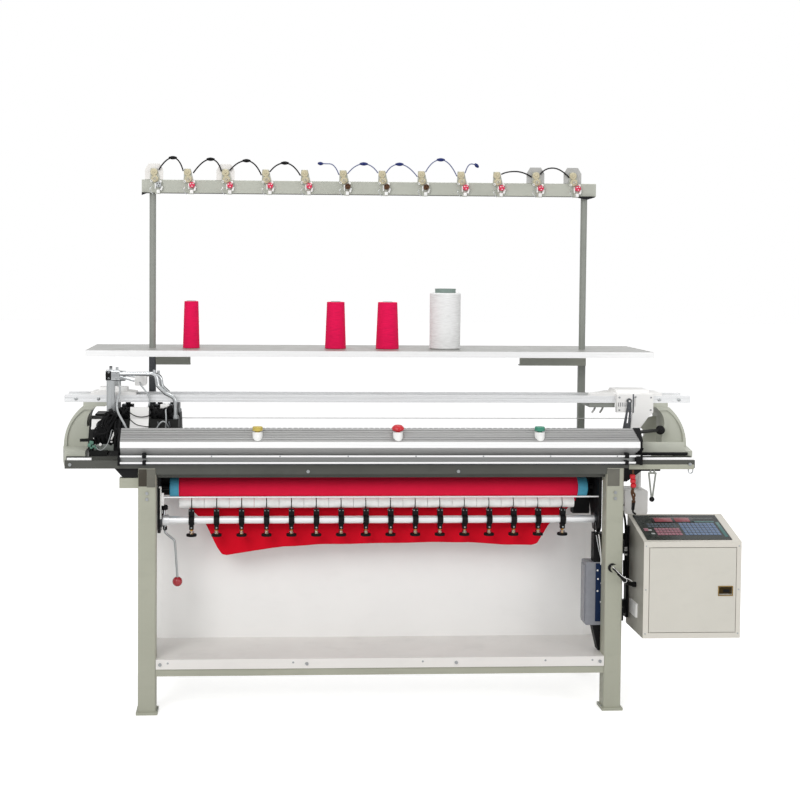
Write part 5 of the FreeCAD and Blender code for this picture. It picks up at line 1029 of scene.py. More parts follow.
@dataclass
class Carriage:
    """Carriage: cam boxes, bridge, solenoid box and everything that is wired to them."""

    motors_at: Sequence[float] = (-903.0, -790.0, -745.0)
    cam_top: float = 985.0
    motor_top: float = 1028.0
    dial_y: float = 92.0
    dial_z: float = 951.0
    arm_x: float = -912.0
    bridge_y: float = 137.5
    bridge_z: float = 1139.0
    seed: int = 7
    plugs: int = 22
    wires: int = 22
    declared_wires: int = 7
    tangle: Sequence[Pair] = ((-912.0, 1012.0), (-926.0, 992.0), (-940.0, 968.0), (-952.0, 944.0), (-962.0, 918.0))

    def dress(self) -> None:
        """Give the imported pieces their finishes."""
        black = (BLACK_PLASTIC, lambda m, n: m.z > self.cam_top + 0.5 and not -859 < m.x < -794)
        pale = (PANEL_PAINT, lambda m, n: m.z > self.cam_top - 60 and -858.5 < m.x < -794.5 and m.z < 1030
                and abs(n.z) < 0.95 and (m.y < 150 or m.y > 340) and m.z > 941)
        dress_faces("front_cam_box", CAM_PAINT, [black, pale])
        dress_faces("rear_cam_box", CAM_PAINT, [black])
        dress_faces("carriage_bridge", UPRIGHT_METAL, [
            (BLACK_PAINT, lambda m, n: -929 < m.x < -846 and 170 < m.y < 300 and 1095 < m.z < 1133.5),
            (BRIGHT_METAL, lambda m, n: m.z > 1098), (BLACK_PLASTIC, lambda m, n: m.z > 1156.5)])
        dress(PANEL_PAINT, "solenoid_box")

    def build(self) -> None:
        """Make the details of the carriage."""
        self.cables()
        self.motors()
        self.cams()
        self.sleeves()
        self.loose_wires()
        self.connectors()
        self.motor_wires()
        self.bridge_details()

    def cables(self) -> None:
        """Replace the two packed cables by smooth ones."""
        arm, y = self.arm_x, self.bridge_y
        first = Wire("carriage_cable_left", [(arm + 11, y, 1114.9), (arm + 20, y, 1084), (arm + 14, 120, 1060),
                                            (arm + 13, 70, 1046), (arm + 16, 42, 1030), (arm + 21, 39, 1014),
                                            (arm + 32, 37.5, 994), (arm + 43, 39, 975), (arm + 50, 46, 953),
                                            (arm + 54, 58, 941), (arm + 54, 70.2, 935)], 3.5, GREY_PLASTIC,
                     Body.CARRIAGE, stands_for="carriage_cables")
        second = Wire("carriage_cable_right", [(-832, 200.6, 1103.6), (-830, 182, 1098), (-812, 158, 1082),
                                              (-792, 149, 1054), (-800, 149, 1018), (-812, 149, 986.4)], 3.0,
                      GREY_PLASTIC, Body.CARRIAGE, stands_for="carriage_cables")
        first.make()
        second.make()

    def motors(self) -> None:
        """Ribs, lids and terminals on the stitch motors."""
        lids, ribs, pins = Shaper(), Shaper(), Shaper()
        for x in self.motors_at:
            for k in range(5):
                z = self.cam_top + 4 + 6 * k
                ribs.block((x - 1.2, 156, z), (x + 41.2, 158.4, z + 3), 0.5)
            for k in range(4):
                pins.block((x + 6 + 8 * k, 152, self.cam_top + 8), (x + 9 + 8 * k, 156.4, self.cam_top + 11), 0.4)
            lids.turned([(8.2, 0), (8.2, 2.2), (7.0, 3.4), (3.0, 3.4), (2.4, 5.0), (0.05, 5.0)],
                        upright(x + 20, 171, self.motor_top), 24)
        ribs.done("motor_ribs", GLOSS_BLACK, Body.CARRIAGE)
        lids.done("motor_lids", DARK_METAL, Body.CARRIAGE)
        pins.done("motor_terminals", DARK_METAL, Body.CARRIAGE)

    def cams(self) -> None:
        """Setting levers, dials and screws on the front cam box's sloping face."""
        levers, dials, screws, plate = Shaper(), Shaper(), Shaper(), Shaper()
        y, z = self.dial_y, self.dial_z
        for k, x in enumerate((-965, -925, -880, -760, -722)):
            dials.turned([(9, 0), (9, 4), (7.5, 6), (3, 6), (3, 9), (0.05, 9)],
                         facing(x, y, z, Vector((0, -0.8, 0.6))), 28)
            levers.block((x - 2, y - 12, z + 4), (x + 2, y - 4, z + 30), 0.8, 12 - 6 * k, Axis.Y)
        for x in (-985, -940, -845, -700):
            head(screws, (x, 69.6, 905), FRONT, 4.0, 2.4)
        levers.done("cam_levers", DARK_METAL, Body.CARRIAGE)
        plate.sheet([(92.1, 953.1), (115.5, 984.6), (114.8, 985.1), (91.4, 953.6)], Axis.X, -988, -944)
        plate.done("cam_corner_plate", PANEL_PAINT, Body.CARRIAGE)
        dials.done("cam_dials", BLACK_PLASTIC, Body.CARRIAGE)
        screws.done("cam_screws", BOLT_METAL, Body.CARRIAGE)

    def spread_at(self, share: float, pick: random.Random, half: float = 16.0) -> Pair:
        """Place in the tangle: a share of the way down its middle line, moved aside at random.

        Args:
            share: 0 at its top, 1 at its foot.
            pick: Source of the seeded random numbers.
            half: Half its width.

        Returns:
            The place along the beds and the height.
        """
        step = min(share, 0.999) * (len(self.tangle) - 1)
        (x0, z0), (x1, z1) = self.tangle[int(step)], self.tangle[int(step) + 1]
        t = step - int(step)
        return x0 + (x1 - x0) * t + pick.uniform(-half, half), z0 + (z1 - z0) * t + pick.uniform(-half, half) * 0.5

    def sleeves(self) -> None:
        """Black sleeves that come down in front of the left arm and run into the front of the cam box."""
        routes = (
            ((-924, 129, 1004), (-922, 112, 1012), (-926, 84, 1004), (-942, 62, 976), (-956, 56, 948), (-962, 58, 924),
             (-956, 72, 912)),
            ((-916, 129, 1000), (-910, 108, 1012), (-914, 80, 1006), (-928, 58, 982), (-942, 52, 954), (-948, 56, 926),
             (-938, 72, 908)),
            ((-904, 132, 984), (-902, 104, 1002), (-908, 74, 992), (-920, 56, 966), (-932, 52, 942), (-928, 58, 920),
             (-918, 72, 904)),
            ((-894, 112, 980), (-892, 92, 992), (-894, 64, 974), (-893, 56, 936), (-893, 55, 902), (-896, 72, 886)),
            ((-904, 110, 979), (-903, 88, 990), (-904, 62, 968), (-902, 53, 930), (-903, 53, 900), (-906, 72, 884)),
            ((-890, 118, 984), (-886, 96, 998), (-889, 66, 988), (-890, 54, 960), (-898, 52, 936), (-908, 72, 920)))
        for k, route in enumerate(routes):
            Wire("sleeve_%d" % (k + 1), route, 5.6 if k < 3 else 5.0, BLACK_RUBBER, Body.CARRIAGE).make()

    def loose_wires(self) -> None:
        """Thin wires that loop among the sleeves."""
        pick = random.Random(self.seed)
        finishes = (BLACK_RUBBER, BLACK_PLASTIC, BLACK_RUBBER, BLACK_PLASTIC, BLACK_PLASTIC, BLACK_RUBBER)
        for k in range(self.wires):
            (x1, z1), (x2, z2), (x3, z3) = [self.spread_at(t + pick.uniform(0, 0.2), pick, 20)
                                            for t in (0.0, 0.4, 0.8)]
            y = 50 + pick.uniform(-6, 8)
            route = [(x1, 117, 984.5), (x1 + pick.uniform(-12, 12), 92, min(z1 + 12, 1012)), (x1, y + 14, z1),
                     (x2 + pick.uniform(-16, 10), y, z2 + 8), (x2 + pick.uniform(-24, 24), y - 2, z2 - 22),
                     (x3, y + 2, max(z3, 896)), (x3 + pick.uniform(-10, 24), 71, 903 + pick.uniform(0, 14))]
            Wire("loose_wire_%02d" % (k + 1), route, 1.5 + 0.5 * (k % 3), finishes[k % 6], Body.CARRIAGE,
                 declared=k < self.declared_wires).make()
        loop = [(-966, 71, 902), (-966, 50, 893), (-948, 44, 886), (-928, 46, 906), (-918, 48, 938), (-914, 58, 962),
                (-908, 84, 946)]
        Wire("grey_loop", loop, 1.3, GREY_PLASTIC, Body.CARRIAGE).make()

    def connectors(self) -> None:
        """Plugs and clips of the tangle, the grey plate under it and the black strip beside the cover."""
        pick = random.Random(self.seed + 1)
        black, pale, teal = Shaper(), Shaper(), Shaper()
        for k in range(self.plugs):
            x, z = self.spread_at(k / self.plugs, pick, 13)
            size = (pick.uniform(12, 22), pick.uniform(14, 24), pick.uniform(9, 16))
            turn = Matrix.Rotation(pick.uniform(-0.9, 0.9), 4, "Y") @ Matrix.Rotation(pick.uniform(-0.4, 0.4), 4, "X")
            black.placed(Matrix.Translation(spot(x, 72 + pick.uniform(-8, 12), z)) @ turn, size, 1.2)
        for x, z, w, h in ((-983, 912, 14, 10), (-990, 903, 12, 11), (-975, 899, 12, 8), (-984, 894, 9, 6),
                           (-967, 893, 9, 6)):
            teal.block((x - w / 2, 58, z - h / 2), (x + w / 2, 70.4, z + h / 2), 1.0, 8, Axis.Y)
        for x, z, w, h, turn in ((-911, 936, 6, 30, 24), (-953, 906, 9, 9, 30), (-973, 928, 7, 6, 0),
                                 (-916, 915, 8, 5, 12)):
            pale.block((x - w / 2, 56, z - h / 2), (x + w / 2, 61, z + h / 2), 1.0, turn, Axis.Y)
            pale.block((x - 2, 60, z - 2), (x + 2, 70.4, z + 2), 0.5)
        black.block((-906, 56, 884), (-884, 70.4, 962), 1.5)
        black.block((-942.6, 122.6, 1119), (-924, 124.6, 1149), 0.6)
        black.done("tangle_plugs", BLACK_PLASTIC, Body.CARRIAGE)
        teal.done("teal_clips", TEAL_CLIP, Body.CARRIAGE)
        pale.done("pale_clips", PANEL_PAINT, Body.CARRIAGE)
        plate = Shaper()
        plate.block((-976, 67.4, 884), (-908, 70.2, 906), 0.8)
        plate.done("cam_front_plate", CAM_PLATE_PAINT, Body.CARRIAGE)

    def motor_wires(self) -> None:
        """Plugs and wires around the stitch motors, between the cover and the rails."""
        pick = random.Random(self.seed + 2)
        black, pale = Shaper(), Shaper()
        for low, high, count in ((-900, -848, 16), (-790, -716, 22)):
            for _ in range(count):
                x, z = pick.uniform(low, high), pick.uniform(990, 1024)
                size = (pick.uniform(9, 18), pick.uniform(10, 20), pick.uniform(8, 15))
                black.placed(Matrix.Translation(spot(x, 150 + pick.uniform(-6, 4), z)) @ Matrix.Rotation(
                    pick.uniform(-0.8, 0.8), 4, "Y"), size, 1.0)
        for low, high, count in ((-898, -850, 7), (-788, -720, 9)):
            for k in range(count):
                x0, x1 = pick.uniform(low, high), pick.uniform(low, high)
                route = [(x0, 150, 1018), (x0 + pick.uniform(-10, 10), 132, 1026), ((x0 + x1) / 2, 122, 1008),
                         (x1 + pick.uniform(-10, 10), 124, 994), (x1, 126, 986 + 0.2 * k), (x1 + 3, 134, 984.6)]
                Wire("motor_wire_%d_%d" % (-low, k), route, 1.6 + 0.4 * (k % 2), BLACK_RUBBER if k % 3 else
                     BLACK_PLASTIC, Body.CARRIAGE, declared=False).make()
        arcs = (([(-866, 142, 1016), (-863, 110, 1012), (-848, 107, 1000), (-826, 106, 993), (-802, 106, 995),
                  (-790, 112, 1000), (-786, 140, 1004)], BLACK_RUBBER),
                ([(-866, 134, 996), (-863, 104, 992), (-850, 94, 979), (-832, 87, 968), (-812, 85, 965),
                  (-796, 91, 962), (-787, 99.5, 962)], BLACK_RUBBER),
                ([(-772, 84, 943), (-766, 70, 958), (-750, 66, 984), (-734, 70, 982), (-722, 92, 954)], GREY_PLASTIC),
                ([(-735, 150, 1020), (-739, 122, 1018), (-735, 96, 1004), (-734, 84, 980), (-736, 90, 951)],
                 GREY_PLASTIC))
        for k, (route, finish) in enumerate(arcs):
            Wire("front_wire_%d" % (k + 1), route, 1.5 if k < 2 else 2.3, finish, Body.CARRIAGE).make()
        pale.block((-758, 142, 1019), (-727, 156, 1033), 2.0)
        black.done("motor_plugs", BLACK_PLASTIC, Body.CARRIAGE)
        pale.done("motor_plate", PANEL_PAINT, Body.CARRIAGE)

    def bridge_details(self) -> None:
        """Clamp screws and hose clips of the bridge."""
        screws, clips = Shaper(), Shaper()
        for z in (1124, 1144):
            for x in (-932, -906):
                head(screws, (x, 124.5, z), FRONT, 3.6, 2.8)
        for x in (-880, -800):
            clips.turned([(9.2, -4), (9.2, 4), (7.1, 4), (7.1, -4)],
                         facing(x, self.bridge_y, self.bridge_z, RIGHT), 28, True)
        screws.done("bridge_screws", BOLT_METAL, Body.CARRIAGE)
        clips.done("bridge_clips", BRIGHT_METAL, Body.CARRIAGE)


@dataclass
class Carriers:
    """Left stop plate, carrier station, its lever and the yarn feeders."""

    def dress(self) -> None:
        """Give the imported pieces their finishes."""
        dress(PANEL_PAINT, "left_stop_plate", "carrier_station")
        dress(DARK_METAL, "carrier_lever")
        dress_faces("yarn_feeders", GREY_PAINT, [(WHITE_PLASTIC, lambda m, n: m.z < 1018)])

    def build(self) -> None:
        """Add the station's screws and its dark marks."""
        screws, marks = Shaper(), Shaper()
        for x, z in ((846, 1058), (958, 1058), (846, 1014), (958, 1014), (904, 1060)):
            head(screws, (x, 162, z), FRONT, 3.4, 2.2)
        screws.done("station_screws", BOLT_METAL)
        for k in range(7):
            x = 842 + 6.5 * k
            marks.block((x, 161.7, 1026), (x + 2.4, 162.2, 1040), 0.1)
        marks.block((893, 161.7, 1004), (898, 162.2, 1070), 0.1)
        marks.done("station_marks", DARK_METAL)


@dataclass
class YarnStand:
    """Posts, yarn shelf, top bar and the twelve tension units with their leads."""

    middle: float = -11.0
    bar_low: float = 1774.0
    bar_high: float = 1822.0
    unit_y: float = 441.0
    places: Sequence[float] = (-791.0, -670.0, -532.0, -386.0, -244.0, -103.0, 40.0, 185.0, 331.0, 464.0, 609.0,
                               747.0)
    leads: Sequence[tuple[Pair, Pair, Pair]] = (
        ((-774.0, 82.0), (-714.5, 127.0), (-685.0, 79.0)), ((-649.0, 72.0), (-571.5, 123.0), (-547.0, 79.0)),
        ((-517.0, 82.0), (-452.0, 119.0), (-401.0, 67.0)), ((-371.0, 79.0), (-317.0, 112.0), (-259.0, 67.0)),
        ((-195.0, 112.0), (-150.0, 111.0), (-118.0, 71.0)), ((-87.0, 75.0), (-23.5, 112.0), (25.0, 79.0)),
        ((55.0, 79.0), (93.0, 112.0), (170.0, 67.0)), ((200.0, 84.0), (253.0, 130.0), (316.0, 70.0)),
        ((346.0, 82.0), (367.5, 116.0), (395.0, 104.0)), ((480.0, 79.0), (526.0, 90.0), (593.0, 70.0)),
        ((625.0, 80.0), (661.0, 104.0), (732.0, 70.0)))
    lead_y: float = 438.4
    lead_radius: float = 2.6

    def dress(self) -> None:
        """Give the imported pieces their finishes."""
        # The left post below the shelf is painted dark metal: painted shade.
        dress_faces("stand_posts", GREY_PAINT, [(DARK_METAL, lambda m, n: m.z < 1186 and m.x < 0)])
        # The yarn shelf's front lip takes the near-white highlight metal: a painted highlight.
        dress_faces("yarn_shelf", YARN_SHELF_PAINT, [(HIGHLIGHT_METAL, lambda m, n: n.y < -0.9 and m.y < 306),
                                                     (BAR_PAINT, lambda m, n: m.z < 1186.5 and m.y > 306)])
        # The bar's underside is painted black: painted shade under the bar.
        dress_faces("top_bar", BAR_PAINT, [(BLACK_PAINT, lambda m, n: n.z < -0.9)])
        dress_faces("tension_bodies", BAR_PAINT, [
            (CLEAR_PLASTIC, lambda m, n: m.y > self.unit_y + 4.5 and m.z > self.bar_high + 0.2),
            (LIP_PAINT, lambda m, n: m.x < -500 and m.y > self.unit_y + 4.5 and m.z > self.bar_high + 0.2)])
        dress(CREAM_PLASTIC, "tension_discs")
        dress_faces("tension_knobs", PINK_PLASTIC, [
            (BROWN_RUBBER, lambda m, n: -120 < m.x < 240), (GREY_PLASTIC, lambda m, n: m.x < -760)])

    def build(self) -> None:
        """Make the leads, beads and the units' small parts."""
        self.make_leads()
        self.make_units()

    def bead(self, name: str, middle: Place, way: Vector, finish: Finish, length: float = 30.0) -> bpy.types.Object:
        """Oval bead or connector on a lead.

        Args:
            name: Its name.
            middle: Where it sits, in machine millimetres.
            way: Direction of the lead there.
            finish: Its finish.
            length: Its length.

        Returns:
            The bead.
        """
        half = length / 2
        profile = [(2.8, -half), (4.2, -half * 0.75), (6.0, -half * 0.35), (6.6, 0), (6.0, half * 0.35),
                   (4.2, half * 0.75), (2.8, half)]
        shaper = Shaper()
        shaper.turned(profile, facing(*middle, way), 20)
        return shaper.done(name, finish)

    def make_leads(self) -> None:
        """Make the eleven leads and the beads on them."""
        for i, (start, top, end) in enumerate(self.leads):
            (x0, z0), (x1, z1), (x2, z2) = [(self.middle + x, self.bar_low + z) for x, z in (start, top, end)]
            y = self.lead_y
            route = [(x0, y, z0), (x1 - 0.55 * (x1 - x0), y, z1), (x1 + 0.55 * (x2 - x1), y, z1), (x2, y, z2)]
            finish = BLACK_PLASTIC if i in (0, 1, 2, 3, 9, 10) else PALE_BLUE
            bead_finish = BLACK_PLASTIC if i in (0, 1, 2, 3) else BLUE_PLASTIC
            beads = []
            far_end = "object"
            if i == 4:
                route.reverse()
            if i in (4, 8):
                last, before = Vector(route[-1]), Vector(route[-2])
                way = (last - before).normalized()
                far_end = "connector"
                beads.append(self.bead("lead_connector_%02d" % i, tuple(last - way * 9), way, bead_finish, 20))
            elif i not in (9, 10):
                apex = ((route[1][0] + route[2][0]) / 2, y, z1)
                beads.append(self.bead("lead_bead_%02d" % i, apex, RIGHT, bead_finish))
            radius = self.lead_radius - (0.5 if finish is PALE_BLUE else 0.0)
            Wire("tension_lead_%02d" % i, route, radius, finish, far_end=far_end, stands_for="jumper_leads",
                 stiffness="stiff").make(beads)

    def make_units(self) -> None:
        """Disc hubs, springs, eyelets, guide wires and white clips of the units, and the bar's black corners."""
        hubs, springs, eyes, clips, glints, ties, dark_caps, wedges = (Shaper() for _ in range(8))
        wedges.sheet([(-846, 1774.6), (-819, 1774.6), (-846, 1765)], Axis.Y, 436.0, 440.9)
        wedges.sheet([(752, 1774.6), (818, 1774.6), (818, 1771), (790, 1763), (757, 1769)], Axis.Y, 436.0, 440.9)
        y, low = self.unit_y, self.bar_low
        for i, place in enumerate(self.places):
            x = place + self.middle
            for k in (0, 1):
                z = self.bar_high + 27 - 24 * k
                hubs.turned([(5, 0), (5, 1.4), (3.6, 2.2), (3.0, 4), (0.05, 4)], facing(x + 3 * k, y - 7, z, FRONT), 20)
            springs.spring((x + 3, y - 8, self.bar_high + 3), (x + 3, y - 15, self.bar_high + 3), 4.2, 0.5, 4)
            eyes.turned([(4.4, -1.6), (4.4, 1.6), (2.6, 1.6), (2.6, -1.6)],
                        facing(x - 9, y - 8, self.bar_high - 6, FRONT), 20, True)
            clips.block((x + 10, y - 8, low - 2), (x + 22, y + 0.2, low + 11), 1.5)
            clips.block((x + 24, y - 7, low + 8), (x + 31, y + 0.2, low + 24), 1.5, 14)
            clips.block((x + 21, y - 8, low + 36), (x + 28, y + 0.2, low + 45), 1.5, -20)
            clips.block((x + 3, y - 7, low + 14), (x + 8, y + 0.2, low + 34), 1.2)
            # White dots on the pink knobs are painted highlights; the dark knobs get black dots.
            for dx, dz in ((-4.5, 3.5), (4.0, 4.5), (0.5, -5.0)):
                (dark_caps if i in (0, 5, 6, 7) else glints).turned(
                    [(1.9, 0), (1.9, 1.0), (0.05, 1.4)], facing(x + 17 + dx, y - 16, low + 29 + dz, FRONT), 12)
            ties.along([spot(x - 8, y - 6, low + 22), spot(x - 14, y - 16, low + 12),
                        spot(x - 10, y - 20, low + 2), spot(x - 2, y - 16, low - 6)], 1.1)
        hubs.done("disc_hubs", CREAM_PLASTIC)
        springs.done("tension_springs", BRIGHT_METAL)
        eyes.done("yarn_eyelets", WHITE_PLASTIC)
        clips.done("unit_clips", WHITE_PLASTIC)
        glints.done("knob_glints", WHITE_PLASTIC)
        dark_caps.done("dark_knob_marks", BLACK_PLASTIC)
        wedges.done("bar_corners", BLACK_PAINT)
        ties.done("guide_wires", BRIGHT_METAL)


@dataclass
class YarnPackages:
    """Cones and the bobbin that stand on the yarn shelf."""

    middle: float = -11.0
    y: float = 460.0
    shelf: float = 1208.0
    cones: Sequence[Pair] = ((-655.0, 31.0), (-125.0, 39.0), (67.0, 43.0))
    height: float = 172.0
    taper: float = 0.84
    bore: float = 16.0
    bobbin_x: float = 281.0
    bobbin_radius: float = 57.0
    bobbin_height: float = 208.0
    core: float = 38.0
    sides: int = 110
    strand_pitch: float = 4.8

    def build(self) -> None:
        """Make the wound packages."""
        for i, (x, radius) in enumerate(self.cones):
            made = self.package("red_cone_%d" % (i + 1), x, radius, radius * self.taper, self.height, self.bore + 1.5,
                                3.0, RED_YARN)
            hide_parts("red_cones")
            tube = Shaper()
            tube.turned([(self.bore + 1.5, 0.2), (self.bore + 1.5, self.height + 2.0), (self.bore, self.height + 2.0),
                         (self.bore, 0.2)], upright(self.middle + x, self.y, self.shelf), 40, True)
            tube.done("cone_tube_%d" % (i + 1), GREY_PLASTIC)
        made = self.package("white_bobbin_yarn", self.bobbin_x, self.bobbin_radius, self.bobbin_radius,
                            self.bobbin_height, self.core + 0.1, 7.0, WHITE_YARN)
        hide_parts("white_bobbin")
        core = Shaper()
        top = self.bobbin_height + 15
        core.turned([(self.core, 0.2), (self.core, top - 3), (self.core + 1.2, top - 2.5), (self.core + 1.2, top - 0.8),
                     (self.core, top), (self.core - 3, top), (self.core - 3, 0.2)],
                    upright(self.middle + self.bobbin_x, self.y, self.shelf), 64, True)
        core.done("bobbin_core_tube", TEAL_PLASTIC)

    def package(self, name: str, x: float, low: float, high: float, tall: float, bore: float, corner: float,
                finish: Finish) -> bpy.types.Object:
        """Wound package with crossing strands.

        Args:
            name: Its name.
            x: Place along the shelf.
            low: Radius at the bottom.
            high: Radius at the top.
            tall: Height.
            bore: Radius of the hole.
            corner: Rounding of the ends.
            finish: Its finish.

        Returns:
            The package.
        """
        shaper = Shaper()
        sides, rows = self.sides, int(tall / 1.6)
        place = upright(self.middle + x, self.y, self.shelf)
        rings = []

        def ring(radius: float, height: float, wound: bool) -> None:
            """One ring of points.

            Args:
                radius: Its radius.
                height: Its height above the shelf.
                wound: Whether crossing strands show on it.
            """
            made = []
            rise = 2 * math.pi * height / self.strand_pitch
            for i in range(sides):
                a = 2 * math.pi * i / sides
                r = radius
                if wound:
                    r += 0.28 * max(math.sin(rise + 2 * a), math.sin(rise - 2 * a)) - 0.3
                made.append(shaper.mesh.verts.new(place @ round_point(r, a, height)))
            rings.append(made)

        ring(bore, 0.3, False)
        for k in range(5):
            a = math.pi / 2 * k / 4
            ring(low - corner + corner * math.sin(a), corner - corner * math.cos(a) + 0.3, False)
        for k in range(rows):
            t = (k + 0.5) / rows
            height = corner + (tall - 2 * corner) * t
            ring(low + (high - low) * t, height, True)
        for k in range(5):
            a = math.pi / 2 * k / 4
            ring(high - corner + corner * math.cos(a), tall - corner + corner * math.sin(a), False)
        ring(bore + (high - bore) * 0.5, tall - 0.8, False)
        ring(bore, tall - 1.5, False)
        return shaper.skin(rings, True).done(name, finish, smooth=60)


@dataclass
class TakeDown:
    """Bearing plates, roller, pressure rollers, clamps on their shaft, and the knitted cloth."""

    roller_y: float = 150.0
    roller_z: float = 746.0
    press_y: float = 127.1
    press_z: float = 696.0
    wrap: float = 35.25
    back: float = 19.75
    nip: float = -114.6
    gap_y: float = 245.0
    bend_z: float = 850.0
    cloth_top: float = 925.0
    cloth_side: float = 692.0
    cloth_end: float = 495.0
    thickness: float = 1.3
    fold_seed: int = 11
    shaft_y: float = 105.0
    shaft_z: float = 640.0
    shaft_r: float = 13.05
    plate_in: float = 751.9
    collar_x: float = -741.0
    clamps: int = 16
    first: float = -648.0
    pitch: float = 85.6
    disc_z: float = 592.0
    disc_r: float = 17.0
    columns: int = 260
    rows: int = 96
    lower_edge: Sequence[Pair] = (
        (-692.0, 698.75), (-643.0, 662.0), (-600.0, 617.0), (-563.0, 538.0), (-545.0, 511.0), (-528.5, 507.0),
        (-499.0, 512.0), (-430.0, 524.0), (-326.0, 538.0), (-210.0, 544.0), (52.0, 549.0), (314.0, 551.0),
        (440.0, 541.0), (540.0, 539.0), (558.0, 545.0), (598.0, 614.0), (655.0, 662.0), (692.0, 698.75))

    def dress(self) -> None:
        """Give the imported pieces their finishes."""
        # The side plates are painted black, which partly paints the leg's shadow beside the roller's ends.
        dress(BLACK_PAINT, "side_plates")
        dress_faces("take_down_roller", BLUE_RUBBER, [
            (BLACK_PLASTIC, lambda m, n: math.hypot(m.y - self.roller_y, m.z - self.roller_z) < 20 and abs(m.x) > 696)])
        dress(WHITE_PLASTIC, "pressure_rollers")
        dress(RAIL_METAL, "clamp_shaft")
        dress_faces("shaft_clamps", BLACK_PLASTIC, [
            (BRASS, lambda m, n: self.disc_z + 0.2 < m.z < self.disc_z + 9.2),
            (BRIGHT_METAL, lambda m, n: self.disc_z + 9.2 <= m.z < self.shaft_z - 32.2)])
        dress_faces("release_handle", BOLT_METAL, [(BALL_PLASTIC, lambda m, n: m.z < 444.5)])
        dress(RAIL_METAL, "guide_rod")

    def build(self) -> None:
        """Make the cloth and the details of the clamps."""
        self.cloth()
        self.clamp_details()
        self.roller_details()

    def edge_at(self, x: float) -> float:
        """Height of the cloth's lower edge.

        Args:
            x: Place across the cloth.

        Returns:
            The height there.
        """
        for (x0, z0), (x1, z1) in zip(self.lower_edge, self.lower_edge[1:]):
            if x <= x1:
                return z0 + (z1 - z0) * (x - x0) / (x1 - x0)
        return self.lower_edge[-1][1]

    def path(self) -> list[Pair]:
        """Way of the cloth in its side view, from the needles to the lowest point that it reaches.

        Returns:
            Places as depth and height.
        """
        dy, dz = self.gap_y - self.roller_y, self.bend_z - self.roller_z
        start = math.atan2(dz, dy) + math.acos(self.wrap / math.hypot(dy, dz))
        end = math.radians(self.nip) + 2 * math.pi

        def round_roller(a: float) -> Pair:
            """Point of the cloth on the roller."""
            return self.roller_y + self.wrap * math.cos(a), self.roller_z + self.wrap * math.sin(a)

        touch = round_roller(start)
        line = [(self.gap_y, self.cloth_top), (self.gap_y, self.bend_z + 30)]
        way = Vector((touch[0] - self.gap_y, touch[1] - self.bend_z)).normalized()
        leave = (self.gap_y + 30 * way.x, self.bend_z + 30 * way.y)
        for k in range(1, 13):
            t = k / 12
            line.append(tuple((1 - t) ** 2 * a + 2 * t * (1 - t) * b + t * t * c for a, b, c in zip(
                (self.gap_y, self.bend_z + 30), (self.gap_y, self.bend_z), leave)))
        line += [round_roller(start + (end - start) * k / 60) for k in range(61)]
        lead_in = math.radians(self.nip) + math.pi
        for k in range(21):
            a = lead_in * (1 - k / 20)
            line.append((self.press_y + self.back * math.cos(a), self.press_z + self.back * math.sin(a)))
        line.append((self.press_y + self.back, self.cloth_end))
        return line

    def cloth(self) -> None:
        """Make the knitted cloth as one sheet, with soft folds where it hangs free."""
        line = self.path()
        steps = [0.0]
        for a, b in zip(line, line[1:]):
            steps.append(steps[-1] + math.hypot(b[0] - a[0], b[1] - a[1]))
        free = steps[-2]

        def at(distance: float) -> Pair:
            """Point of the way.

            Args:
                distance: How far it lies from the needles.

            Returns:
                Its depth and height.
            """
            for k in range(len(steps) - 1):
                if distance <= steps[k + 1]:
                    t = (distance - steps[k]) / (steps[k + 1] - steps[k])
                    return tuple(a + (b - a) * t for a, b in zip(line[k], line[k + 1]))
            return line[-1]

        def reach(z: float) -> float:
            """Distance along the way from the needles, below the nip.

            Args:
                z: Height to reach.

            Returns:
                The distance.
            """
            if z <= line[-2][1]:
                return free + line[-2][1] - z
            for k in range(len(line) - 22, len(line) - 1):
                if line[k + 1][1] <= z:
                    t = (line[k][1] - z) / (line[k][1] - line[k + 1][1])
                    return steps[k] + (steps[k + 1] - steps[k]) * t
            return free

        mesh = bmesh.new()
        uv = mesh.loops.layers.uv.new("cloth")
        pick = random.Random(self.fold_seed)
        waves = [(pick.uniform(0.018, 0.05), pick.uniform(0, 6.28), pick.uniform(0.5, 1.0)) for _ in range(7)]
        grid, area, longest = [], 0.0, 0.0
        for i in range(self.columns + 1):
            x = -self.cloth_side + 2 * self.cloth_side * i / self.columns
            total = reach(self.edge_at(x))
            longest = max(longest, total)
            area += total * 2 * self.cloth_side / self.columns * (0.5 if i in (0, self.columns) else 1)
            column = []
            for j in range(self.rows + 1):
                distance = total * j / self.rows
                y, z = at(distance)
                hang = max(0.0, (distance - free - 30) / 150)
                lean = 0.35 * (z - self.press_z)
                fold = sum(w * math.sin(f * (x + lean) + p) for f, p, w in waves) / 3.2
                y += min(1.0, hang) ** 1.3 * (7.0 * fold + 6.0)
                column.append((mesh.verts.new(spot(x, y, z)), x / 1000, distance / 1000))
            grid.append(column)
        for left, right in zip(grid, grid[1:]):
            for j in range(self.rows):
                corners = (left[j], right[j], right[j + 1], left[j + 1])
                face = mesh.faces.new([c[0] for c in corners])
                for loop, corner in zip(face.loops, corners):
                    loop[uv].uv = corner[1:]
        made = bpy.data.meshes.new("knitted_cloth_sheet")
        mesh.to_mesh(made)
        mesh.free()
        piece = piece_of("knitted_cloth_sheet", made, RED_KNIT, Body.STAND, 60)
        # The cloth above 700 mm, on the roller, takes the brighter copy of the knit: painted light.
        made.materials.append(LIT_ROLLER_KNIT.material())
        for polygon in made.polygons:
            polygon.material_index = int((polygon.center - ORIGIN).z * 1000 > 700)
        thick = piece.modifiers.new("thickness", "SOLIDIFY")
        thick.thickness = self.thickness / 1000
        thick.offset = 0.0
        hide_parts("knitted_cloth")
        LOG.info("cloth %.3f m long, %.3f m2", longest / 1000, area / 1e6)

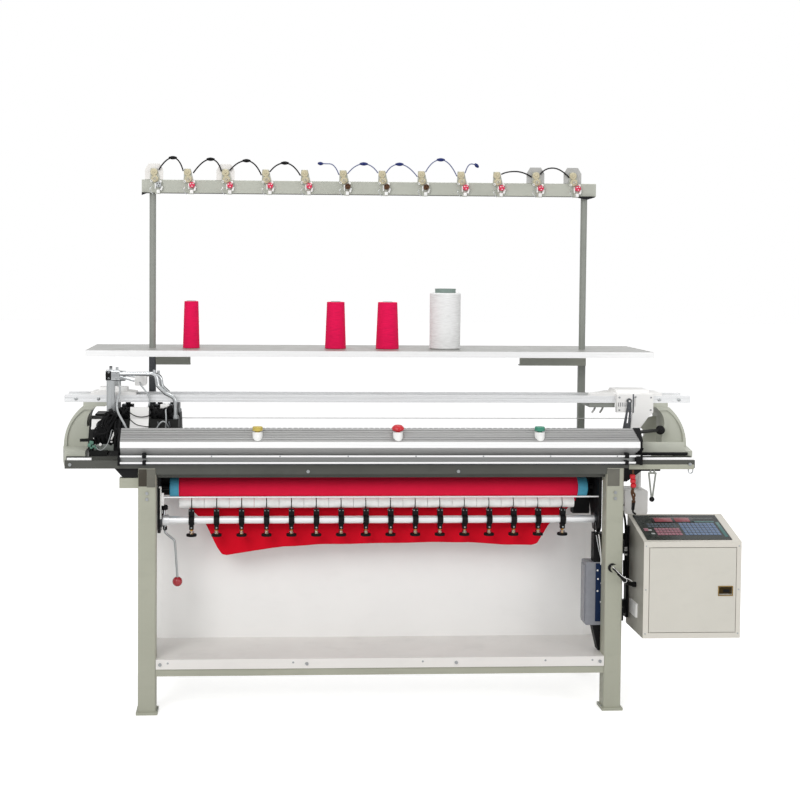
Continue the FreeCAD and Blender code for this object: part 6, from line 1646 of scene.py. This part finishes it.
    def clamp_details(self) -> None:
        """Knurled rims, nuts, set screws and springs on the sixteen clamps."""
        rims, nuts, springs, screws, heads = Shaper(), Shaper(), Shaper(), Shaper(), Shaper()
        y, z = self.shaft_y, self.disc_z
        for i in range(self.clamps):
            x = self.first + i * self.pitch
            for k in range(28):
                a = 2 * math.pi * k / 28
                place = Matrix.Translation(spot(x, y, z - 4)) @ Matrix.Rotation(a, 4, "Z")
                place = place @ Matrix.Translation(Vector((self.disc_r, 0, 0)) / 1000)
                rims.placed(place, (1.4, 1.7, 7.0), 0.3)
            nuts.turned([(5.4, 0), (6.2, 0.8), (6.2, 4.2), (5.4, 5.0)], upright(x, y, z + 10.5), 6)
            springs.spring((x, y, z + 1.5), (x, y, z + 9.5), 8.6, 0.7, 2.5)
            heads.block((x - 10, y - 9.6, self.shaft_z + 16), (x + 10, y - 2.5, self.shaft_z + 39), 2.0)
            for side in (-1, 1):
                head(screws, (x + side * 5.6, y - 9.6, self.shaft_z + 33), FRONT, 2.0, 1.6)
            head(screws, (x, y - 9.2, self.shaft_z - 26), FRONT, 3.2, 2.2)
            springs.spring((x - 7, y - 1, self.shaft_z + 31), (x - 7, y + 8, self.press_z - 21), 2.6, 0.5, 6)
        rims.done("clamp_disc_rims", BLACK_RUBBER, Body.CLAMPS)
        heads.done("clamp_heads", BLACK_PLASTIC, Body.CLAMPS)
        nuts.done("clamp_nuts", BRASS, Body.CLAMPS)
        springs.done("clamp_springs", BRIGHT_METAL, Body.CLAMPS)
        screws.done("clamp_screws", BOLT_METAL, Body.CLAMPS)

    def roller_details(self) -> None:
        """Bearings of the shaft, and the bars and knobs at its left end."""
        hubs, r = Shaper(), self.shaft_r
        x, y, z = self.collar_x, self.shaft_y, self.shaft_z
        for side in (-1, 1):
            place = facing(side * self.plate_in, y, z, Vector((-side, 0, 0)))
            hubs.turned([(r + 0.3, 0), (r + 11, 0), (r + 11, 3), (r + 8, 6), (r + 0.3, 6)], place, 36, True)
        hubs.done("shaft_bearings", DARK_METAL)
        knobs, stems, bars = Shaper(), Shaper(), Shaper()
        stems.bar((x, y, z + 18), (x, y, z + 37), 5.0, edge=0.6)
        stems.bar((x + 3, y, z - 18), (x + 3, y, z - 22), 4.0, edge=0.6)
        knobs.turned([(9, 35), (12.5, 37), (13, 40), (13, 48), (11, 51), (0.05, 51)], upright(x, y, z), 28)
        knobs.turned([(0.05, -34), (6, -34), (7, -32), (7, -21.5), (5, -20)], upright(x + 3, y, z), 24)
        knobs.done("collar_knobs", BLACK_PLASTIC, Body.CLAMPS)
        stems.done("collar_stems", BRIGHT_METAL, Body.CLAMPS)
        bars.block((-749.5, 60.5, 697), (-739.5, 66.5, 741), 1.4)
        bars.block((-752.5, 60.5, 702), (-748.0, 66.5, 712), 0.8)
        bars.block((-752.4, 55, 652), (-747.6, 60.4, 761), 1.2)
        bars.block((-756, 56, 757), (-748, 62, 763), 1.0)
        bars.done("end_bars", WHITE_PLASTIC)


@dataclass
class ControlBox:
    """Control box with its door, latch and sloping key panel."""

    left: float = 876.5
    right: float = 1210.5
    front: float = -60.0
    depth: float = 205.0
    front_top: float = 592.0
    back_top: float = 649.0
    keys_left: float = 890.5
    keys_right: float = 1182.5
    margin: float = 14.0
    sheet: float = 2.0
    latch_low: Pair = (1132.0, 408.0)
    latch_high: Pair = (1183.0, 442.0)

    def dress(self) -> None:
        """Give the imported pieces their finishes."""
        # The box's left side takes a darker copy of its paint: painted shade.
        dress_faces("control_box", CREAM_PAINT, [
            (SHADED_BOX_SIDE, lambda m, n: n.x < -0.9 and m.x < self.left + 0.5),
            (BLACK_PLASTIC, lambda m, n: m.x < self.left - 0.1),
            (WHITE_PLASTIC, lambda m, n: m.x < self.left - 0.1 and 317 < m.z < 367),
            (DARK_METAL, lambda m, n: 60 < m.y < 136 and m.x > self.left + 40 and m.x < self.right - 40
             and 284 < m.z < self.front_top - 62 and abs(m.y - 142) > 3.5)])
        dress(DOOR_PAINT, "box_door")
        dress(LATCH_METAL, "door_latch")
        dress(KEY_SHEET, "key_panel")

    def on_slope(self, u: float, v: float, lift: float) -> Matrix:
        """Place on the key panel, level with its face.

        Args:
            u: Share of its width, from the left.
            v: Share of its depth, from the front.
            lift: Millimetres above its face.

        Returns:
            The place, with its own z square to the face.
        """
        rise = math.atan2(self.back_top - self.front_top, self.depth)
        length = self.depth / math.cos(rise)
        along = self.margin + (length - 2 * self.margin) * v
        x = self.keys_left + (self.keys_right - self.keys_left) * u
        lift += self.sheet
        place = spot(x, self.front + along * math.cos(rise) - lift * math.sin(rise),
                     self.front_top + along * math.sin(rise) + lift * math.cos(rise))
        return Matrix.Translation(place) @ Matrix.Rotation(rise, 4, "X")

    def build(self) -> None:
        """Make the keys, the display, the latch's frame and the screws."""
        self.keys()
        frame_piece, grip, screws = Shaper(), Shaper(), Shaper()
        (x0, z0), (x1, z1), y = self.latch_low, self.latch_high, self.front - 1.0
        for low, high in (((x0, y - 1.2, z0), (x1, y + 0.3, z0 + 3)), ((x0, y - 1.2, z1 - 3), (x1, y + 0.3, z1)),
                          ((x0, y - 1.2, z0 + 3), (x0 + 3, y + 0.3, z1 - 3)),
                          ((x1 - 3, y - 1.2, z0 + 3), (x1, y + 0.3, z1 - 3))):
            frame_piece.block(low, high, 0.4)
        frame_piece.done("latch_frame", GOLD_METAL, Body.DOOR)
        grip.block((1150, self.front + 0.2, 419), (1172, self.front + 0.7, 430), 0.2)
        grip.done("latch_grip", BLACK_PLASTIC, Body.LATCH)
        for x in (self.left + 8, self.right - 8):
            for z in (280.0, 430.0, 578.0):
                head(screws, (x, self.front, z), FRONT, 2.6, 1.4)
        screws.done("box_screws", BOLT_METAL)

    def keys(self) -> None:
        """Make the keys and the display on the sloping panel."""
        names = {KEY_RED: "red_keys", KEY_BLUE: "blue_keys", KEY_SLATE: "slate_keys", KEY_WHITE: "white_keys",
                 KEY_TEAL: "teal_strips", DISPLAY_RED: "display_strips"}
        glass, pads = Shaper(), {finish: Shaper() for finish in names}
        glass.placed(self.on_slope(0.44, 0.79, 0.2), (150, 44, 0.4), 0.1)
        for u, width in ((0.33, 62), (0.56, 52)):
            pads[DISPLAY_RED].placed(self.on_slope(u, 0.80, 0.5), (width, 30, 0.4), 0.1)
        for finish, rows, columns, (u, v), (across, down), size in (
                (KEY_RED, 3, 7, (0.18, 0.22), (0.043, 0.10), (11, 15, 0.7)),
                (KEY_SLATE, 2, 8, (0.12, 0.53), (0.044, 0.09), (10, 10, 0.7)),
                (KEY_BLUE, 5, 9, (0.51, 0.22), (0.048, 0.10), (11.5, 15, 0.7))):
            for row in range(rows):
                for column in range(columns):
                    pads[finish].placed(self.on_slope(u + across * column, v + down * row, 0.3), size, 0.25)
        for u, v in ((0.10, 0.38), (0.115, 0.24)):
            pads[KEY_WHITE].placed(self.on_slope(u, v, 0.3), (12, 9, 0.7), 0.25)
        pads[KEY_RED].placed(self.on_slope(0.06, 0.40, 0.3), (16, 20, 0.5), 0.2)
        pads[KEY_WHITE].placed(self.on_slope(0.82, 0.86, 0.3), (72, 1.2, 0.3))
        pads[KEY_TEAL].placed(self.on_slope(0.96, 0.40, 0.2), (11, 110, 0.4), 0.1)
        pads[KEY_TEAL].placed(self.on_slope(0.74, 0.72, 0.2), (112, 9, 0.4), 0.1)
        glass.done("display_glass", GLOSS_BLACK)
        for finish, name in names.items():
            pads[finish].done(name, finish)


@dataclass
class RightSide:
    """Motor, hanging lever, junction box and the cables at the right of the stand."""

    box_wall: float = 876.5
    connector_x: float = 848.0
    connector_y: float = -13.0

    def dress(self) -> None:
        """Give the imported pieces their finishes."""
        dress(PANEL_PAINT, "motor_housing")
        dress_faces("hanging_lever", GREY_PAINT, [(BLACK_PLASTIC, lambda m, n: m.z < 736)])
        dress_faces("junction_box", BLUE_GREY, [(BLACK_PLASTIC, lambda m, n: m.z > 498.2 or m.z < 278.8)])

    def build(self) -> None:
        """Make the cables and the small fittings."""
        Wire("motor_cable", [(881.4, 219, 667), (864, 205, 669), (862, 150, 659), (860, 106, 627), (859, 100, 527),
                             (860, 103, 447), (862, 100, 421), (874.3, 98, 413)], 4.0, BLACK_RUBBER,
             stands_for="box_cables").make(along=self.trunk_pieces)
        Wire("leg_cable", [(786, 0, 492), (786, -32, 492), (810, -46, 468), (self.box_wall - 30, 30, 427),
                           (self.box_wall, 30, 427)], 4.0, BLACK_RUBBER, stands_for="box_cables").make(
                               along=self.leg_pieces)
        Wire("leg_tie", [(783, -4, 499), (792, -44, 488), (812, -60, 470), (834, -48, 463), (848, -24, 450)], 1.2,
             WHITE_PLASTIC, declared=False).make()
        self.connectors()
        self.inner_wires()
        self.fittings()

    def run_of(self, line: Sequence[Vector], low: float, high: float) -> list[Vector]:
        """Part of a cable's own line.

        Args:
            line: The line, in the row frame.
            low: Where the part starts, in millimetres above the floor.
            high: Where it ends.

        Returns:
            The points between the two heights.
        """
        return [p for p in line if low <= p.z * 1000 <= high and (p - ORIGIN).x * 1000 < 870]

    def trunk_pieces(self, line: list[Vector]) -> list[bpy.types.Object]:
        """Black sleeves and white ties on the cable behind the box's corner.

        Args:
            line: The cable's own line.

        Returns:
            The pieces.
        """
        sleeves, ties = Shaper(), Shaper()
        for low, high in ((548, 592), (430, 498)):
            sleeves.along(self.run_of(line, low, high), 9.0, 16)
        for z in (541, 528, 515):
            near = min(line, key=lambda p: abs(p.z * 1000 - z))
            ties.turned([(4.2, -2.5), (6.2, -2.5), (6.2, 2.5), (4.2, 2.5)], Matrix.Translation(near), 24, True)
        return [sleeves.done("trunk_sleeves", BLACK_RUBBER),
                ties.done("trunk_ties", WHITE_PLASTIC)]

    def leg_pieces(self, line: list[Vector]) -> list[bpy.types.Object]:
        """Sleeve and white tie on the cable in front of the leg.

        Args:
            line: The cable's own line.

        Returns:
            The pieces.
        """
        middle = [p for p in line if 796 < (p - ORIGIN).x * 1000 < 868]
        sleeve, tie = Shaper(), Shaper()
        sleeve.along(middle, 6.6, 16)
        k = len(middle) // 2
        place = aimed(middle[k], middle[k + 1] - middle[k])
        tie.turned([(6.4, -1.6), (8.0, -1.6), (8.0, 1.6), (6.4, 1.6)], place, 24, True)
        tie.placed(place @ Matrix.Translation(Vector((0, 7, 0)) / 1000), (2.4, 16, 2.0), 0.4)
        return [sleeve.done("leg_cable_sleeve", BLACK_RUBBER),
                tie.done("leg_cable_tie", WHITE_PLASTIC)]

    def connectors(self) -> None:
        """Red connectors that hang from the beam, with their brown wires and the black plug under them."""
        red, plug = Shaper(), Shaper()
        x, y = self.connector_x, self.connector_y
        for k in range(3):
            red.turned([(6.5, -7.5), (9.2, -5.5), (9.6, 0), (9.2, 5.5), (6.5, 7.5)],
                       upright(x + 2 - 1.5 * k, y, 776 + 15 * k), 24)
        plug.bar((861, 20, 716), (880, 92, 676), 6.6, 5.6, 20, 1.2)
        pieces = [red.done("red_connectors", RED_PLASTIC),
                  plug.done("connector_plug", BLACK_PLASTIC)]
        Wire("brown_wire_1", [(x, y, 829), (x, y, 792), (x, y, 770), (x - 4, y + 4, 750), (x + 6, 2, 734),
                              (861, 20, 714)], 3.4, BROWN_RUBBER).make(pieces)
        for k, side in enumerate((-1, 1)):
            route = [(x + 5 * side, y - 1, 772), (x - 3 * side, y - 3, 757), (x + 5 + 7 * side, y + 6, 742),
                     (x + 9 - 5 * side, y + 14, 728), (861 + 4 * side, 20, 713)]
            Wire("brown_wire_%d" % (k + 2), route, 3.2, BROWN_RUBBER).make()
        Wire("plug_cable", [(879, 88, 678), (884, 106, 668), (890, 126, 660), (897, 138, 654), (904, 142, 649.4)], 3.2,
             BLACK_RUBBER).make()

    def inner_wires(self) -> None:
        """Thin wires and the dark strip in front of the junction box."""
        strip, dots = Shaper(), Shaper()
        strip.block((744, 57.6, 292), (771, 60.2, 494), 1.0)
        for x, z in ((750, 470), (752, 440), (764, 425), (751, 398), (763, 360)):
            dots.turned([(3, 0), (3, 1.2), (1.6, 1.8), (0.05, 1.8)], facing(x, 57.6, z, FRONT), 16)
        strip.done("junction_strip", NAVY_PLASTIC)
        dots.done("junction_terminals", PANEL_PAINT)
        for k, (route, finish) in enumerate((
                ([(744, 60.2, 590), (742, 50, 596), (745, 46, 572), (752, 48, 540), (760, 52, 512), (766, 57.6, 492)],
                 GREY_PLASTIC),
                ([(752, 60.2, 592), (750, 48, 600), (753, 44, 566), (758, 46, 532), (761, 54, 505), (761, 57.6, 490)],
                 WHITE_PLASTIC),
                ([(746, 60.2, 582), (735, 56, 606), (739, 64, 640), (748, 72, 640), (752, 76, 596)], BLACK_RUBBER))):
            Wire("junction_wire_%d" % (k + 1), route, 1.7, finish).make()

    def fittings(self) -> None:
        """Ring under the bracket's corner, the dark stay from cover to bracket, and the leg's round plate."""
        ring, stay = Shaper(), Shaper()
        circle = [spot(1057 + 8 * math.sin(a), 20, 822 + 10 * math.cos(a)) for a in
                  [2 * math.pi * k / 24 for k in range(25)]]
        ring.along(circle, 2.2, 10)
        ring.bar((1057, 20, 830), (1057, 20, 834), 3.6)
        ring.done("hook_ring", BRIGHT_METAL)
        stay.bar((877, 24, 953), (992, 168, 942), 6.2)
        stay.turned([(12, -6), (16, -3), (16, 4), (12, 8), (6, 8), (6, 11), (0.05, 11)],
                    facing(994, 164, 943, Vector((-0.35, -0.93, 0.1))), 32)
        stay.turned([(0.05, 0), (15.5, 0), (15.5, 3), (13, 5), (8, 5), (8, 4), (0.05, 4)],
                    facing(786, 0.3, 492, FRONT), 32)
        stay.done("bracket_stay", BLACK_PAINT)


# ---- light, camera and the run ------------------------------------------------------------------
@dataclass(frozen=True)
class View:
    """Where the photo was taken from, fitted to its edges."""

    x: float = -449.4
    y: float = -4497.6
    z: float = 1518.8
    yaw: float = 2.953
    pitch: float = 2.375
    roll: float = 0.393
    lens: float = 60.67
    shift_x: float = 0.1
    shift_y: float = -0.1

    def camera(self) -> bpy.types.Object:
        """Make the camera and aim it.

        Returns:
            The camera.
        """
        data = bpy.data.cameras.new("view")
        data.sensor_width = 36.0
        data.lens = self.lens
        data.shift_x, data.shift_y = self.shift_x, self.shift_y
        data.clip_end = 60.0
        data.dof.use_dof = False
        yaw, pitch, roll = (math.radians(a) for a in (self.yaw, self.pitch, self.roll))
        ahead = Vector((math.sin(yaw) * math.cos(pitch), math.cos(yaw) * math.cos(pitch), -math.sin(pitch)))
        level = Vector((math.cos(yaw), -math.sin(yaw), 0))
        above = level.cross(ahead)
        right = level * math.cos(roll) + above * math.sin(roll)
        up = above * math.cos(roll) - level * math.sin(roll)
        turn = Matrix((right, up, -ahead)).transposed().to_4x4()
        piece = put("view", data)
        piece.matrix_world = Matrix.Translation(spot(self.x, self.y, self.z)) @ turn
        bpy.context.scene.camera = piece
        return piece


@dataclass(frozen=True)
class Lamp:
    """Soft area lamp: where it stands, its width and its power."""

    name: str
    place: Place
    width: float
    power: float

    def make(self) -> None:
        """Put the lamp in the scene and aim it at the machine."""
        data = bpy.data.lights.new(self.name, "AREA")
        data.shape = "SQUARE"
        data.size = self.width
        data.energy = self.power
        here = Vector(self.place)
        put(self.name, data).matrix_world = Matrix.Translation(here) @ (Vector((0, 0, 0.9)) - here).to_track_quat(
            "-Z", "Y").to_matrix().to_4x4()


@dataclass(frozen=True)
class Studio:
    """White surroundings, a pale floor and soft lamps."""

    sky: float = 0.5
    lamps: Sequence[Lamp] = (Lamp("key", (-2.6, -4.4, 3.6), 2.6, 115.0), Lamp("fill", (3.4, -3.6, 2.2), 2.6, 38.0),
                             Lamp("top", (0.3, 0.6, 4.2), 2.4, 45.0))

    def build(self) -> None:
        """Make the surroundings."""
        world = bpy.data.worlds.new("surroundings")
        world.use_nodes = True
        bpy.context.scene.world = world
        nodes, links = world.node_tree.nodes, world.node_tree.links
        background = nodes["Background"]
        background.inputs["Color"].default_value = (1.0, 1.0, 1.0, 1.0)
        path = nodes.new("ShaderNodeLightPath")
        first, either = nodes.new("ShaderNodeMath"), nodes.new("ShaderNodeMath")
        first.operation = either.operation = "MAXIMUM"
        links.new(path.outputs["Is Camera Ray"], first.inputs[0])
        links.new(path.outputs["Is Glossy Ray"], first.inputs[1])
        links.new(first.outputs[0], either.inputs[0])
        links.new(path.outputs["Is Transmission Ray"], either.inputs[1])
        level = nodes.new("ShaderNodeMapRange")
        level.inputs["To Min"].default_value = self.sky
        level.inputs["To Max"].default_value = 1.0
        links.new(either.outputs[0], level.inputs[0])
        links.new(level.outputs[0], background.inputs["Strength"])
        for lamp in self.lamps:
            lamp.make()
        self.floor()

    def floor(self) -> None:
        """Make the pale floor."""
        mesh = bpy.data.meshes.new("floor")
        mesh.from_pydata([(-30, -30, 0), (30, -30, 0), (30, 30, 0), (-30, 30, 0)], [], [(0, 1, 2, 3)])
        piece = put("floor", mesh)
        g = Graph("floor")
        g.finish(Base_Color=(0.94, 0.94, 0.94, 1.0), Roughness=0.9)
        rays = g.add("LightPath").outputs["Is Camera Ray"]
        g.feed(g.shader, "Emission Color", (1.0, 1.0, 1.0, 1.0))
        g.feed(g.shader, "Emission Strength", g.sums("MULTIPLY", rays, 0.56))
        mesh.materials.append(g.material)


def main() -> None:
    """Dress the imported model, add the pieces that only the looks need, and set up the view."""
    logging.basicConfig(level=logging.INFO, format="%(name)s %(message)s")
    groups = [Stand(), CoverParts(), Rails(), Beds(), Drive(), Carriage(), Carriers(), YarnStand(), YarnPackages(),
              TakeDown(), ControlBox(), RightSide()]
    for group in groups:
        for step in ("dress", "build"):
            if hasattr(group, step):
                getattr(group, step)()
        LOG.info("%s is ready", type(group).__name__)
    Studio().build()
    View().camera()
    bpy.context.scene.view_settings.view_transform = "Standard"
    bpy.context.view_layer.update()


if __name__ == "__main__":
    main()
